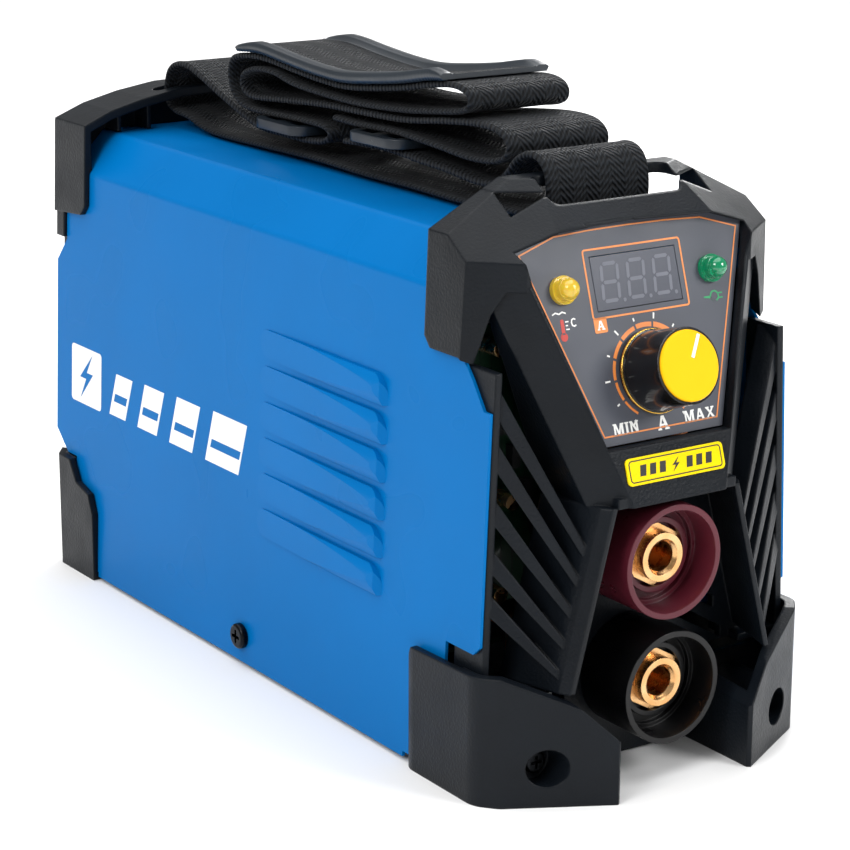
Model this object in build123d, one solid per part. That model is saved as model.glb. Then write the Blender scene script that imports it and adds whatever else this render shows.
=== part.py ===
"""Stick welding inverter: a small portable arc-welding power source.

Frame: +Z up, the front faces -Y, +X is to the right seen from the front. The origin is on
the ground, under the middle of the outer size. Lengths are millimetres. Many outlines give
a depth, which is the distance behind the front edge of the painted cover.
"""
from build123d import *
import math
import os

# ---------------------------------------------------------------- driving dimensions
COVER_FRONT = -125.0          # y of the cover's front edge
COVER_DEPTH = 271.0           # length of the cover
COVER_TOP = 161.0
SHEET = 1.0                   # cover sheet
HALF_WIDTH_100 = 55.7         # outer half width of the cover at z 100
SPLAY = 0.041                 # the side walls lean in this much per mm of height
SHOULDER_Z = 148.0            # where the side wall meets the chamfer
TOP_HALF_WIDTH = 41.5         # where the chamfer meets the flat top
GUARD = 2.2                   # how far the plastic guards stand outside the cover
WALL = 3.0                    # wall of the plastic mouldings
FIT = 0.15                    # gap between pieces that are slid together
LABEL_TILT = math.atan(0.322)  # backward lean of the control panel
SOCKET_Z = (67.7, 28.7)       # heights of the positive and negative sockets
CUP_RADIUS = 17.5
WEBBING = 38.0                # strap width
WEBBING_THICK = 1.8
FAN_CENTRE = (9.0, 78.0)      # x, z
TRAY_Z = 3.0                  # underside of the base tray
SWITCH_X, SWITCH_Z = -20.0, 139.5
GLAND_X, GLAND_Z = 27.0, 140.0
EARTH_X, EARTH_Z = 0.0, 16.0

PANEL_NORMAL = Vector(0, -math.cos(LABEL_TILT), math.sin(LABEL_TILT))
PANEL_UP = Vector(0, math.sin(LABEL_TILT), math.cos(LABEL_TILT))


def at(depth):
    """The y of a point this far behind the cover's front edge."""
    return COVER_FRONT + depth


PANEL_ORIGIN = Vector(0, at(-3.9), 122.6)   # knob axis on the control panel's surface


# ---------------------------------------------------------------- helpers
def half_width(z):
    """Outer half width of the cover's splayed side wall at height z."""
    return HALF_WIDTH_100 + SPLAY * (100.0 - z)


def both_sides(points):
    """Close a right-hand outline with its mirror image."""
    return points + [(-x, z) for x, z in reversed(points) if abs(x) > 1e-6]


def outline(points):
    return make_face(Polyline(*points, close=True))


def front_prism(points, y0, y1):
    """A prism along Y whose outline is given as (x, z)."""
    return extrude(Plane.XZ.offset(-y1) * outline(points), y1 - y0)


def side_prism(points, x0, x1):
    """A prism along X whose outline is given as (depth, z)."""
    face = outline([(at(depth), z) for depth, z in points])
    return extrude(Plane.YZ.offset(x0) * face, x1 - x0)


def plan_prism(points, z0, z1):
    """A prism along Z whose outline is given as (x, depth)."""
    return extrude(Plane.XY.offset(z0) * outline([(x, at(d)) for x, d in points]), z1 - z0)


def block(x0, x1, y0, y1, z0, z1):
    middle = Pos((x0 + x1) / 2, (y0 + y1) / 2, (z0 + z1) / 2)
    return middle * Box(x1 - x0, y1 - y0, z1 - z0)


def cut_beyond(solid, point, normal):
    """Remove what lies past a plane, on the side its normal points to."""
    plane = Plane(origin=Vector(*point), z_dir=Vector(*normal))
    low = (Align.CENTER, Align.CENTER, Align.MIN)
    return solid - plane * Box(900, 900, 900, align=low)


def rod(radius, start, direction, length):
    """A cylinder from a start point along a direction."""
    plane = Plane(origin=Vector(*start), z_dir=Vector(*direction))
    return plane * Cylinder(radius, length, align=(Align.CENTER, Align.CENTER, Align.MIN))


def tube(outer, inner, start, direction, length):
    return rod(outer, start, direction, length) - rod(inner, start, direction, length)


def mirrored(solid):
    return mirror(solid, about=Plane.YZ)


def group(*solids):
    return Compound(children=[piece for solid in solids for piece in solid.solids()])


def on_panel(x, up, out=0.0):
    """A point on the tilted control panel, measured from the knob's axis."""
    return PANEL_ORIGIN + Vector(x, 0, 0) + PANEL_UP * up + PANEL_NORMAL * out


def panel_plane(x=0.0, up=0.0, out=0.0):
    return Plane(origin=on_panel(x, up, out), x_dir=(1, 0, 0), z_dir=PANEL_NORMAL)


def save(solid, name):
    for index, piece in enumerate(solid.solids()):
        if not piece.is_valid:
            print("invalid solid", name, index)
    export_step(solid, f"parts/{name}.step")


# ---------------------------------------------------------------- painted cover
def cover_section(inset, z_low):
    """Cross-section of the cover, moved in by inset, down to z_low."""
    corner = inset * math.tan(math.radians(22.5))
    return both_sides([
        (half_width(z_low) - inset, z_low),
        (half_width(SHOULDER_Z) - inset, SHOULDER_Z - corner),
        (TOP_HALF_WIDTH - corner, COVER_TOP - inset),
    ])


def along_y(solid, low_z):
    """The long edges of a cross-section, above a height."""
    edges = solid.edges().filter_by(Axis.Y)
    return [edge for edge in edges if edge.center().Z > low_z]


def louvre(inset, slit):
    """One pressed louvre of the right-hand wall, rising towards its rounded front end."""
    height = 9.2 - 2 * inset
    rear, crest, front = 125.8 - inset, 57.0, 51.6 + inset
    view_from_above = [(-2.5, at(rear + 0.5)), (0.2 - inset, at(rear)), (2.5 - inset, at(crest)),
                       (2.1 - inset, at(crest - 3.2)), (-0.2 - inset, at(front)),
                       (-2.5, at(front - 0.5))]
    body = extrude(Plane.XY.offset(-height / 2) * outline(view_from_above), height)
    side_view = Plane.YZ.offset(-4) * make_face([
        Line((at(rear - 4), height / 2), (at(crest + 0.5), height / 2)),
        ThreePointArc((at(crest + 0.5), height / 2), (at(front + 1.6), height / 4 - 0.2),
                      (at(front), -height / 2 + 0.6)),
        Line((at(front), -height / 2 + 0.6), (at(front + 0.6), -height / 2)),
        Line((at(front + 0.6), -height / 2), (at(rear - 4), -height / 2)),
        ThreePointArc((at(rear - 4), -height / 2), (at(rear), 0), (at(rear - 4), height / 2))])
    body &= extrude(side_view, 12)
    crown = Pos(-6.1 - inset * 0.2, at(90), 0) * Rot(90, 0, 0) * Cylinder(8.6 - inset * 0.8, 90)
    body &= crown
    if slit:
        body += block(-1.6, 0.5, at(58), at(96), -height / 2 - 1.2, -height / 2 + 0.6)
    return body


def cover():
    shell = front_prism(cover_section(0, 1.5), at(0), at(COVER_DEPTH))
    shell = fillet(along_y(shell, 140), 3.0)
    core = front_prism(cover_section(SHEET, -1.5), at(-1), at(COVER_DEPTH + 1))
    core = fillet(along_y(core, 140), 2.0)
    shell -= core
    side_view = side_prism([
        (0, 47.5), (0, 117), (3.1, 117), (9.4, 125.2), (14.4, 130.5), (14.4, 170),
        (263.5, 170), (263.5, 121.8), (271, 113), (271, 50), (262, 42.6), (255, 42.6),
        (255, TRAY_Z + 0.2), (237.2, TRAY_Z + 0.2), (237.2, 1.5), (37.3, 1.5),
        (37.3, TRAY_Z + 0.2), (17, TRAY_Z + 0.2), (17, 44.7), (3, 44.7)], -80, 80)
    shell &= side_view
    lean = math.degrees(math.atan(SPLAY))
    for index in range(6):
        z = 52.9 + 11.86 * index
        place = Pos(half_width(z), 0, z) * Rot(0, -lean, 0)
        for side in (1, -1):
            bump = place * louvre(0, False)
            hollow = place * louvre(0.9, True)
            if side < 0:
                bump, hollow = mirrored(bump), mirrored(hollow)
            shell = shell + bump - hollow
    for side in (1, -1):
        shell -= rod(2.1, (side * 70, at(134), 10.6), (-side, 0, 0), 30)
    return shell


# ---------------------------------------------------------------- front moulding
HOOD_OUT = 3.3                # the hood stands this far in front of the label
LABEL_EDGE_LOW = (23.4, -13.1, 105.4)    # x, depth, z of the hood's edge beside the label
LABEL_EDGE_HIGH = (44.3, 5.1, 161.9)
RIDGE_OUTLINE = [(24.8, 80.5), (50.0, 149.5)]
SHOULDER_NORMAL = (0.317, -0.512, 0.797)
SHOULDER_POINT = (31.0, 26.0, 177.7)
STRIP_NORMAL = (0.57, -0.82, 0.0)
STRIP_POINT = (49.4, 7.6, 150.0)


def facet_normal():
    """Outward normal of the facet between the label and the louvres."""
    low = Vector(*LABEL_EDGE_LOW)
    high = Vector(*LABEL_EDGE_HIGH)
    ridge = Vector(42.6, 3.9, 130.0)
    normal = (high - low).cross(ridge - high).normalized()
    return normal if normal.Y < 0 else normal * -1


def cut_face(solid, point, normal, inset, sides=(1, -1)):
    """Cut one front facet, and its mirror image, moved in by inset."""
    for side in sides:
        way = Vector(normal[0] * side, normal[1], normal[2]).normalized()
        place = Vector(point[0] * side, at(point[1]), point[2]) - way * inset
        solid = cut_beyond(solid, place, way)
    return solid


def column(inset):
    """The control column, from the waist to the top of the hood."""
    bottom = 87.6 + inset
    lean = (RIDGE_OUTLINE[1][0] - RIDGE_OUTLINE[0][0]) / (RIDGE_OUTLINE[1][1] - RIDGE_OUTLINE[0][1])
    ridge = [(RIDGE_OUTLINE[0][0] + (z - RIDGE_OUTLINE[0][1]) * lean - inset, z)
             for z in (bottom, 149.5)]
    section = both_sides([(0, bottom), *ridge, (50.0 - inset, 164.0), (31.0 - inset * 0.3, 177.7 - inset),
                          (0, 177.7 - inset)])
    solid = front_prism(section, at(-30), at(40))
    panel = Vector(0, at(-3.9), 122.6) + PANEL_NORMAL * (HOOD_OUT - inset)
    solid = cut_beyond(solid, panel, PANEL_NORMAL)
    solid = cut_face(solid, LABEL_EDGE_HIGH, tuple(facet_normal()), inset)
    solid = cut_face(solid, SHOULDER_POINT, SHOULDER_NORMAL, inset)
    return cut_beyond(solid, (0, at(12.8), 171.0 - inset), (0, -0.6, 0.8))


def shoulders(inset):
    """The outer corners of the hood, outside the cover."""
    low = 130.8
    section = both_sides([
        (46.0 + inset, 150.0), (49.6 + inset, 143.5), (54.6, 125.2),
        (half_width(127) + GUARD - inset, 127.5),
        (half_width(low) + GUARD - inset, low), (half_width(165) + GUARD - inset, 165.0),
        (31.0 - inset * 0.3, 177.7 - inset), (0, 177.7 - inset), (0, 150.0)])
    solid = front_prism(section, at(2), at(31))
    side_view = side_prism([(3.4, 125.0), (13.6, 130.8), (28.0, 130.8), (31, 134.0), (31, 180),
                            (2.0, 180), (2.0, 125.0)], -80, 80)
    solid &= side_view
    solid = cut_face(solid, STRIP_POINT, STRIP_NORMAL, inset)
    solid = cut_face(solid, SHOULDER_POINT, SHOULDER_NORMAL, inset)
    return cut_beyond(solid, (0, at(12.8), 171.0 - inset), (0, -0.6, 0.8))


def leg():
    """Right-hand leg beside the sockets, with its bevelled outer strip."""
    faces = []
    for z, shift in ((88.0, 0.0), (34.2, 14.1)):
        points = [(21.8, -17), (23.6, -17), (25.8, -14.2), (31.6, 7), (28.4, 7)]
        outline_points = [(x + shift, at(depth)) for x, depth in points]
        faces.append(Plane.XY.offset(z) * outline(outline_points))
    return loft(faces, ruled=True)


BLADES = (
    # height and start on the cover's edge, then the x and z of the inner end
    ((55.2, 2.6, 126.2), (29.0, -12.6, 73.0)),
    ((55.0, 1.6, 108.5), (31.2, -12.6, 64.4)),
    ((55.4, 1.6, 91.3), (33.6, -12.6, 55.6)),
    ((56.0, 1.6, 76.0), (36.6, -12.6, 47.5)),
    ((56.6, 1.6, 62.4), (39.3, -12.6, 39.6)),
)


def blade(start, end):
    """One tapering louvre blade of the right-hand side."""
    start = Vector(start[0], at(start[1]), start[2])
    end = Vector(end[0], at(end[1]), end[2])
    along = (end - start).normalized()
    lean = Vector(0.52, -0.82, 0.22)
    normal = (lean - along * lean.dot(along)).normalized()
    length = (end - start).length
    plane = Plane(origin=start, x_dir=along, z_dir=normal)
    shape = [(-0.5, -2.5), (length + 2.0, -1.0), (length + 2.0, 0.9), (-0.5, 2.5)]
    return extrude(plane * outline(shape), -7.0)


def recess():
    """Space between the two legs, which the blades stop short of."""
    levels = []
    for z in (100.0, 20.0):
        shift = (88.0 - z) * 14.1 / 53.8 + 0.6
        points = [(0, -30), (18.2 + shift, -30), (27.7 + shift, 4.5), (0, 4.5)]
        levels.append(Plane.XY.offset(z) * outline([(x, at(depth)) for x, depth in points]))
    return loft(levels, ruled=True)


def front_rim():
    """Flange inside the cover's front edge, which the louvre blades grow from."""
    outer = front_prism(cover_section(SHEET + FIT, 30), at(-0.4), at(14.0))
    inner = front_prism(cover_section(SHEET + FIT + 2.2, 20), at(-1), at(15.0))
    low = block(-80, 80, at(-1), at(20), 30, 128.5)
    ledge = block(40, half_width(30) - 1.3, at(-0.4), at(14.0), 30.0, 32.2)
    return ((outer - inner) & low) + ledge + mirrored(ledge)


def back_wall():
    """Recessed wall that carries the two output sockets."""
    wall = front_prism(both_sides([(0, 90.5), (29.5, 90.5), (45.4, 30.0), (23.5, 30.0), (23.5, 1.0),
                                   (0, 1.0)]), at(4.5), at(7.0))
    for side in (1, -1):
        for index in range(5):
            z = 61.0 - 8.4 * index
            inner = 19.5 if index < 4 else 25.0
            outer = min(41.5, 30.0 + index * 3.4)
            drop = math.tan(math.radians(30.0))
            slot = [(side * inner, z), (side * outer, z - (outer - inner) * drop),
                    (side * outer, z - 3.6 - (outer - inner) * drop), (side * inner, z - 3.6)]
            wall -= front_prism(slot, at(3), at(9))
    for z in SOCKET_Z:
        wall -= rod(13.0, (0, at(2), z), (0, 1, 0), 10)
    return wall


def front_bezel():
    shell = column(0) & block(-60, 60, at(-30), at(12), 80, 130)
    shell += column(0) & block(-60, 60, at(-30), at(31), 129.9, 180)
    shell += shoulders(0)
    inside = front_prism(cover_section(SHEET + FIT + 2.2, 60), at(-40), at(45))
    below_cover_top = block(-80, 80, at(-40), at(45), 60, COVER_TOP - 3.2)
    shell -= column(WALL) & inside & below_cover_top
    shell -= (block(-37, 37, at(16), at(40), COVER_TOP + 2.2, 174.5))
    shell -= front_prism(cover_section(-FIT, -5), at(14.2), at(45))
    shell -= front_prism(cover_section(WALL, -5), at(12.6), at(20))
    slot = block(-24.4, 24.4, at(13.2), at(25.8), COVER_TOP + 2.2, 182)
    shell -= fillet(slot.edges().filter_by(Axis.Z), 3.5)
    inside_cover = front_prism(cover_section(SHEET + FIT, 20), at(-40), at(45))
    for side in (1, -1):
        legs = leg() if side > 0 else mirrored(leg())
        shell += legs
        for start, end in BLADES:
            rib = (blade(start, end) & inside_cover) - recess()
            shell += rib if side > 0 else mirrored(rib)
    shell += front_rim()
    shell += back_wall()
    shell += block(-21.8, 21.8, at(-17.4), at(7.0), 87.6, 90.6)
    label = front_prism(label_outline(0.25), at(-40), at(30))
    pocket = cut_beyond(label, on_panel(0, 0, -0.5), -PANEL_NORMAL)
    shell -= cut_beyond(pocket, on_panel(0, 0, 12), PANEL_NORMAL)
    shell -= panel_plane(0, 27.5, -20).location * Box(30.6, 15.2, 60)
    for side in (1, -1):
        shell -= rod(2.6, on_panel(side * 27.3, 27.2, -20), PANEL_NORMAL, 40)
    shell -= rod(3.65, on_panel(0, 0, -20), PANEL_NORMAL, 40)
    return shell


# ---------------------------------------------------------------- control panel pieces
def label_outline(grow):
    """Front view of the printed control label, grown by a gap."""
    return both_sides([(0, 104.3 - grow), (22.4 + grow, 104.3 - grow), (42.2 + grow, 160.6),
                       (28.0, 164.9 + grow), (0, 165.6 + grow)])


def control_label():
    face = front_prism(label_outline(0), at(-40), at(30))
    face = cut_beyond(face, on_panel(0, 0, -0.5), -PANEL_NORMAL)
    face = cut_beyond(face, on_panel(0, 0, 0), PANEL_NORMAL)
    face -= panel_plane(0, 27.5, -5).location * Box(31.6, 16.2, 30)
    for side in (1, -1):
        face -= rod(2.7, on_panel(side * 27.3, 27.2, -10), PANEL_NORMAL, 20)
    face -= rod(3.7, on_panel(0, 0, -10), PANEL_NORMAL, 20)
    return face


def lamp(x):
    """A moulded indicator lens: a flange, a step and a domed tip, with its tail."""
    base = on_panel(x, 27.2, 0.02)
    lens = rod(4.2, base, PANEL_NORMAL, 1.6)
    lens += rod(3.4, base + PANEL_NORMAL * 1.6, PANEL_NORMAL, 2.2)
    tip = Plane(origin=base + PANEL_NORMAL * 3.8, z_dir=PANEL_NORMAL)
    lens += tip * Sphere(3.1)
    lens = cut_beyond(lens, base, -PANEL_NORMAL)
    return lens + rod(2.4, base - PANEL_NORMAL * 9.0, PANEL_NORMAL, 9.2)


KNOB_RADIUS = 12.25


def knob_body():
    skirt = rod(KNOB_RADIUS, on_panel(0, 0, 0.6), PANEL_NORMAL, 2.0)
    plane = panel_plane(0, 0, 2.6)
    upper = plane * extrude(Circle(KNOB_RADIUS - 0.35), 14.6, taper=2.6)
    body = skirt + upper
    for index in range(36):
        angle = math.radians(index * 10)
        x, up = (KNOB_RADIUS + 0.15) * math.sin(angle), (KNOB_RADIUS + 0.15) * math.cos(angle)
        body -= rod(0.42, on_panel(x, up, 2.6), PANEL_NORMAL, 15)
    body -= rod(3.06, on_panel(0, 0, -1), PANEL_NORMAL, 14.0)
    body -= rod(7.5, on_panel(0, 0, -1), PANEL_NORMAL, 4.5)
    body -= rod(10.45, on_panel(0, 0, 16.2), PANEL_NORMAL, 5)
    return body


def knob_cap():
    cap = rod(10.4, on_panel(0, 0, 16.22), PANEL_NORMAL, 1.9)
    rim = cap.edges().filter_by(GeomType.CIRCLE).sort_by(Axis(on_panel(0, 0), PANEL_NORMAL))[-1]
    return fillet(rim, 0.6)


def knob_pointer():
    """Inlaid pointer line on the cap, turned to its rest position."""
    turn = Rot(0, 0, -28)
    line = Pos(0, 6.0, 0) * Box(1.0, 7.2, 0.24, align=(Align.CENTER, Align.CENTER, Align.MIN))
    return panel_plane(0, 0, 18.13).location * turn * line


def potentiometer_shaft():
    return rod(3.0, on_panel(0, 0, -6), PANEL_NORMAL, 18.5)


def potentiometer():
    body = rod(8.0, on_panel(0, 0, -13.5), PANEL_NORMAL, 9.0)
    body += rod(3.5, on_panel(0, 0, -4.6), PANEL_NORMAL, 6.4)
    body -= rod(3.05, on_panel(0, 0, -7), PANEL_NORMAL, 20)
    tabs = panel_plane(0, -9.5, -11.5).location * Box(11, 8, 0.8)
    return body + tabs


def potentiometer_nut():
    hexagon = panel_plane(0, 0, 0.05) * extrude(RegularPolygon(5.0, 6, major_radius=False), 1.6)
    return hexagon - rod(3.52, on_panel(0, 0, -1), PANEL_NORMAL, 5)


def display_window():
    return panel_plane(0, 27.5, -1.4).location * Box(30.2, 14.8, 1.2) + (
        panel_plane(0, 27.5, -0.42).location * Box(31.2, 15.8, 0.8))


def display_module():
    return panel_plane(0, 27.5, -6.2).location * Box(30.2, 14.2, 8.0)


# ---------------------------------------------------------------- output sockets
def socket_cup(z, rim_depth):
    """Insulating cup: an open ring, a stepped floor and a spigot through the wall."""
    start = (0, at(rim_depth), z)
    cup = rod(CUP_RADIUS, start, (0, 1, 0), 4.4 - rim_depth)
    cup -= rod(CUP_RADIUS - 1.8, start, (0, 1, 0), 9.6)
    cup -= rod(CUP_RADIUS - 3.2, start, (0, 1, 0), 11.4)
    cup += tube(11.6, 9.9, (0, at(rim_depth + 8.2), z), (0, 1, 0), 5.0)
    cup += rod(12.8, (0, at(4.3), z), (0, 1, 0), 6.0)
    cup -= rod(6.6, start, (0, 1, 0), 40)
    hexagon = Plane(origin=(0, at(rim_depth + 9.4), z), z_dir=(0, 1, 0)) * extrude(
        RegularPolygon(8.95, 6, major_radius=False), 5.0)
    cup -= hexagon
    return cup


def socket_contact(z, rim_depth):
    """Brass socket: a bored ring on a hexagon, with a stud to the rear."""
    front = rim_depth + 5.3
    body = rod(7.5, (0, at(front), z), (0, 1, 0), 4.6)
    hexagon = Plane(origin=(0, at(front + 4.3), z), z_dir=(0, 1, 0)) * extrude(
        RegularPolygon(8.8, 6, major_radius=False), 4.6)
    body += hexagon
    body += rod(6.4, (0, at(front + 8.8), z), (0, 1, 0), 25.0)
    body -= rod(4.5, (0, at(front - 1), z), (0, 1, 0), 23.0)
    mouth = Plane(origin=(0, at(front), z), z_dir=(0, 1, 0))
    body -= mouth * Cone(5.6, 4.5, 1.1, align=(Align.CENTER, Align.CENTER, Align.MIN))
    return body


def socket_nut(z):
    hexagon = Plane(origin=(0, at(10.4), z), z_dir=(0, 1, 0)) * extrude(
        RegularPolygon(9.5, 6, major_radius=False), 5.0)
    return hexagon - rod(6.42, (0, at(9), z), (0, 1, 0), 10)


def busbar(z, top, x):
    """Copper bar from a socket stud back to the power board."""
    plate = block(-9, 9, at(15.6), at(17.6), z - 9, top)
    run = block(min(x - 6, -9), max(x + 6, 9), at(15.6), at(17.6), top - 12, top)
    arm = block(x - 6, x + 6, at(15.6), at(46), top - 2, top)
    return plate + run + arm - rod(6.5, (0, at(14), z), (0, 1, 0), 6)


# ---------------------------------------------------------------- feet
FRONT_FOOT_PLAN = [(24.3, 4.2), (24.3, -24.2), (25.4, -25.0), (56.2, -8.2), (60.6, -3.0),
                   (61.4, 0.0), (61.4, 37.0), (24.3, 37.0)]
FRONT_FOOT_INNER = [(27.5, 40), (27.5, -19.6), (54.4, -5.0), (57.6, -1.5), (58.2, 0.5), (58.2, 7),
                    (59.0, 7), (59.0, 40)]
FOOT_SCREW = (43.7, 12.2)
FOOT_ROUND = 8.0              # the front feet's outer vertical corners


def wall_path(grow):
    """Space that the cover's side walls and their clearance take up."""
    outer = front_prism(cover_section(-grow, TRAY_Z), at(0), at(280))
    inner = front_prism(cover_section(SHEET + grow, TRAY_Z - 5), at(-5), at(285))
    return outer - inner


def front_foot():
    """Right front foot: an open-topped guard round the corner, with a screw pillar."""
    body = plan_prism(FRONT_FOOT_PLAN, 0, 45)
    body = fillet(body.edges().filter_by(Axis.Z).filter_by_position(Axis.X, 55, 62), FOOT_ROUND)
    body -= plan_prism(FRONT_FOOT_INNER, TRAY_Z, 60)
    body = cut_beyond(body, (36.7, at(-16.3), 31.4), (-0.30, -0.25, 0.92))
    body = cut_beyond(body, (24.0, at(-23.0), 18.9), (-0.70, -0.05, 0.71))
    body = cut_beyond(body, (60, at(0), 39.8), (0, 0.02, 1))
    body = cut_beyond(body, (61, at(36.8), 31.0), (0, 0.8, 0.6))
    body -= block(20, 70, at(17.2), at(45), 44.4, 60)
    body -= block(-10, 59.0, at(8.8), at(50), TRAY_Z, 60)
    pillar = rod(7.4, (FOOT_SCREW[0], at(-24), FOOT_SCREW[1]), (0, 1, 0), 32.4)
    pillar &= plan_prism(FRONT_FOOT_PLAN[:-2] + [(61.4, 8.4), (24.3, 8.4)], 0, 45)
    body += pillar
    body -= rod(5.8, (FOOT_SCREW[0], at(-40), FOOT_SCREW[1]), (0, 1, 0), 33)
    body -= rod(2.3, (FOOT_SCREW[0], at(-40), FOOT_SCREW[1]), (0, 1, 0), 60)
    body -= wall_path(FIT) & block(0, 90, at(16.8), at(60), -1, 60)
    body -= wall_path(FIT) & block(0, 90, at(-0.2), at(17.2), 44.5, 60)
    return body


def rear_foot():
    """Right rear foot: a shorter guard with the same screw pillar."""
    body = plan_prism([(30.0, 249), (30.0, 272.5), (36.0, 274.0), (57.2, 268.5), (61.4, 263.0),
                       (61.4, 237.6), (52.0, 237.6), (52.0, 249)], 0, 43)
    body -= plan_prism([(33.2, 240), (33.2, 269.8), (36.0, 270.8), (55.8, 265.7), (58.3, 262.3),
                        (58.3, 230)], TRAY_Z, 60)
    side_view = side_prism([(237.6, 0.6), (237.6, 25), (240.6, 32), (250, 34.5), (254.7, 42), (280, 43),
                            (280, 0), (238.4, 0)], 0, 90)
    body &= side_view
    body = cut_beyond(body, (44.0, at(270), 34.0), (-0.5, 0.3, 0.81))
    body -= block(0, 59.0, at(230), at(254.8), TRAY_Z, 60)
    pillar = rod(7.0, (FOOT_SCREW[0], at(257), FOOT_SCREW[1]), (0, 1, 0), 20)
    body += pillar & plan_prism([(30.0, 255.4), (30.0, 272.5), (36.0, 274.0), (57.2, 268.5),
                                 (61.4, 263.0), (61.4, 255.4)], 0, 43)
    body -= rod(5.5, (FOOT_SCREW[0], at(262), FOOT_SCREW[1]), (0, 1, 0), 20)
    body -= rod(2.3, (FOOT_SCREW[0], at(250), FOOT_SCREW[1]), (0, 1, 0), 30)
    body -= wall_path(FIT) & block(0, 90, at(230), at(262), -1, 60)
    return body


# ---------------------------------------------------------------- rear moulding
def rear_bezel():
    """Rear frame: side guards, an arched rim with the strap slot, and a panel seat."""
    arch = both_sides([(half_width(131.5) + GUARD, 131.5), (half_width(165) + GUARD, 165.0),
                       (44.4, 169.6), (31.0, 173.0), (16.0, 175.4), (0, 175.9)])
    under_arch = both_sides([(half_width(160) - 0.4, 120), (half_width(160) - 0.4, 162.8),
                             (44.0, 166.6), (31.0, 169.8), (16.0, 172.2), (0, 172.7)])
    body = front_prism(arch, at(246), at(269.3))
    body &= side_prism([(246, 136.5), (249, 133.0), (269.3, 131.5), (269.3, 164), (266.5, 180),
                        (246, 180)], -80, 80)
    body -= front_prism(under_arch, at(240), at(258.5))
    body -= front_prism(cover_section(-FIT, -5), at(240), at(263.75))
    body -= front_prism(cover_section(SHEET + FIT + 2.4, 20), at(240), at(275))
    frame = front_prism(cover_section(SHEET + FIT, 44.5), at(255.0), at(268))
    frame -= front_prism(cover_section(SHEET + FIT + 2.4, 20), at(240), at(275))
    body += frame
    collar = front_prism(cover_section(-1.2, 46.0), at(263.8), at(269.3))
    collar -= front_prism(cover_section(SHEET + FIT + 2.4, 20), at(240), at(275))
    body += collar & block(-80, 80, at(263.75), at(270), 122.6, 180)
    slot = block(-23.5, 23.5, at(250.8), at(256.4), 166, 182)
    body -= fillet(slot.edges().filter_by(Axis.Z), 2.5)
    for x in (-40.0, -28.0, 28.0, 40.0):
        top = 170.5 if abs(x) < 30 else 167.2
        body += block(x - 0.7, x + 0.7, at(249), at(259), COVER_TOP + 0.35, top)
    return body


def rear_panel():
    """Sheet-steel rear panel that carries the fan, the switch and the cord gland."""
    plate = front_prism(cover_section(SHEET + FIT + 2.6, 4.4), at(253.0), at(254.4))
    centre = (FAN_CENTRE[0], at(250), FAN_CENTRE[1])
    plate -= rod(37.5, centre, (0, 1, 0), 10)
    for side in (1, -1):
        for up in (1, -1):
            hole = (FAN_CENTRE[0] + side * 35.75, at(250), FAN_CENTRE[1] + up * 35.75)
            plate -= rod(2.2, hole, (0, 1, 0), 10)
        plate -= rod(2.0, (side * FOOT_SCREW[0], at(250), FOOT_SCREW[1]), (0, 1, 0), 10)
    plate -= block(SWITCH_X - 10.6, SWITCH_X + 10.6, at(250), at(258), SWITCH_Z - 7.0, SWITCH_Z + 7.0)
    plate -= rod(8.1, (GLAND_X, at(250), GLAND_Z), (0, 1, 0), 10)
    plate -= rod(2.6, (EARTH_X, at(250), EARTH_Z), (0, 1, 0), 10)
    return plate




# ---------------------------------------------------------------- fan
def fan_frame():
    x, z = FAN_CENTRE
    frame = block(x - 40, x + 40, at(227.6), at(252.8), z - 40, z + 40)
    frame = fillet(frame.edges().filter_by(Axis.Y), 4)
    frame -= rod(38.2, (x, at(220), z), (0, 1, 0), 40)
    for index in range(4):
        angle = math.radians(45 + 90 * index)
        strut = block(0, 40.5, at(249.6), at(251.6), -2, 2)
        frame += Pos(x, 0, z) * Rot(0, math.degrees(angle), 0) * strut
    frame += rod(15.5, (x, at(246.4), z), (0, 1, 0), 5.2)
    for side in (1, -1):
        for up in (1, -1):
            frame -= rod(2.15, (x + side * 35.75, at(220), z + up * 35.75), (0, 1, 0), 40)
    frame -= rod(2.0, (x, at(240), z), (0, 1, 0), 9.5)
    return frame


def fan_rotor():
    x, z = FAN_CENTRE
    rotor = rod(15.0, (x, at(230.5), z), (0, 1, 0), 15.2)
    for index in range(7):
        plane = Plane(origin=(x, at(238), z), z_dir=(0, 1, 0))
        vane = Pos(25.0, 0, 0) * Rot(38, 0, 0) * Box(23.5, 18.0, 1.6)
        rotor += plane * (Rot(0, 0, index * 360 / 7) * vane)
    rotor &= rod(37.2, (x, at(229.0), z), (0, 1, 0), 16.9)
    return rotor + rod(1.95, (x, at(240), z), (0, 1, 0), 9.0)


FAN_HOLE = 35.75              # half the spacing of the fan's four fixing holes


def fan_guard():
    """Welded wire guard outside the rear panel."""
    x, z = FAN_CENTRE
    guard = None
    for index in range(6):
        ring = Plane(origin=(x, at(258.1), z), z_dir=(0, 1, 0)) * Torus(7.5 + index * 6.0, 0.85)
        guard = ring if guard is None else guard + ring
    reach = FAN_HOLE * math.sqrt(2)
    for index in range(4):
        spoke = rod(0.85, (6.6, at(256.6), 0), (1, 0, 0), reach - 10.4)
        eye = tube(4.2, 2.3, (reach, at(254.5), 0), (0, 1, 0), 1.6)
        guard += Pos(x, 0, z) * Rot(0, 45 + 90 * index, 0) * (spoke + eye)
    return guard


def fan_screws():
    x, z = FAN_CENTRE
    return group(*[pan_screw((x + side * FAN_HOLE, at(256.2), z + up * FAN_HOLE), (0, -1, 0), 3.6, 1.9, 27)
                   for side in (1, -1) for up in (1, -1)])


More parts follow.
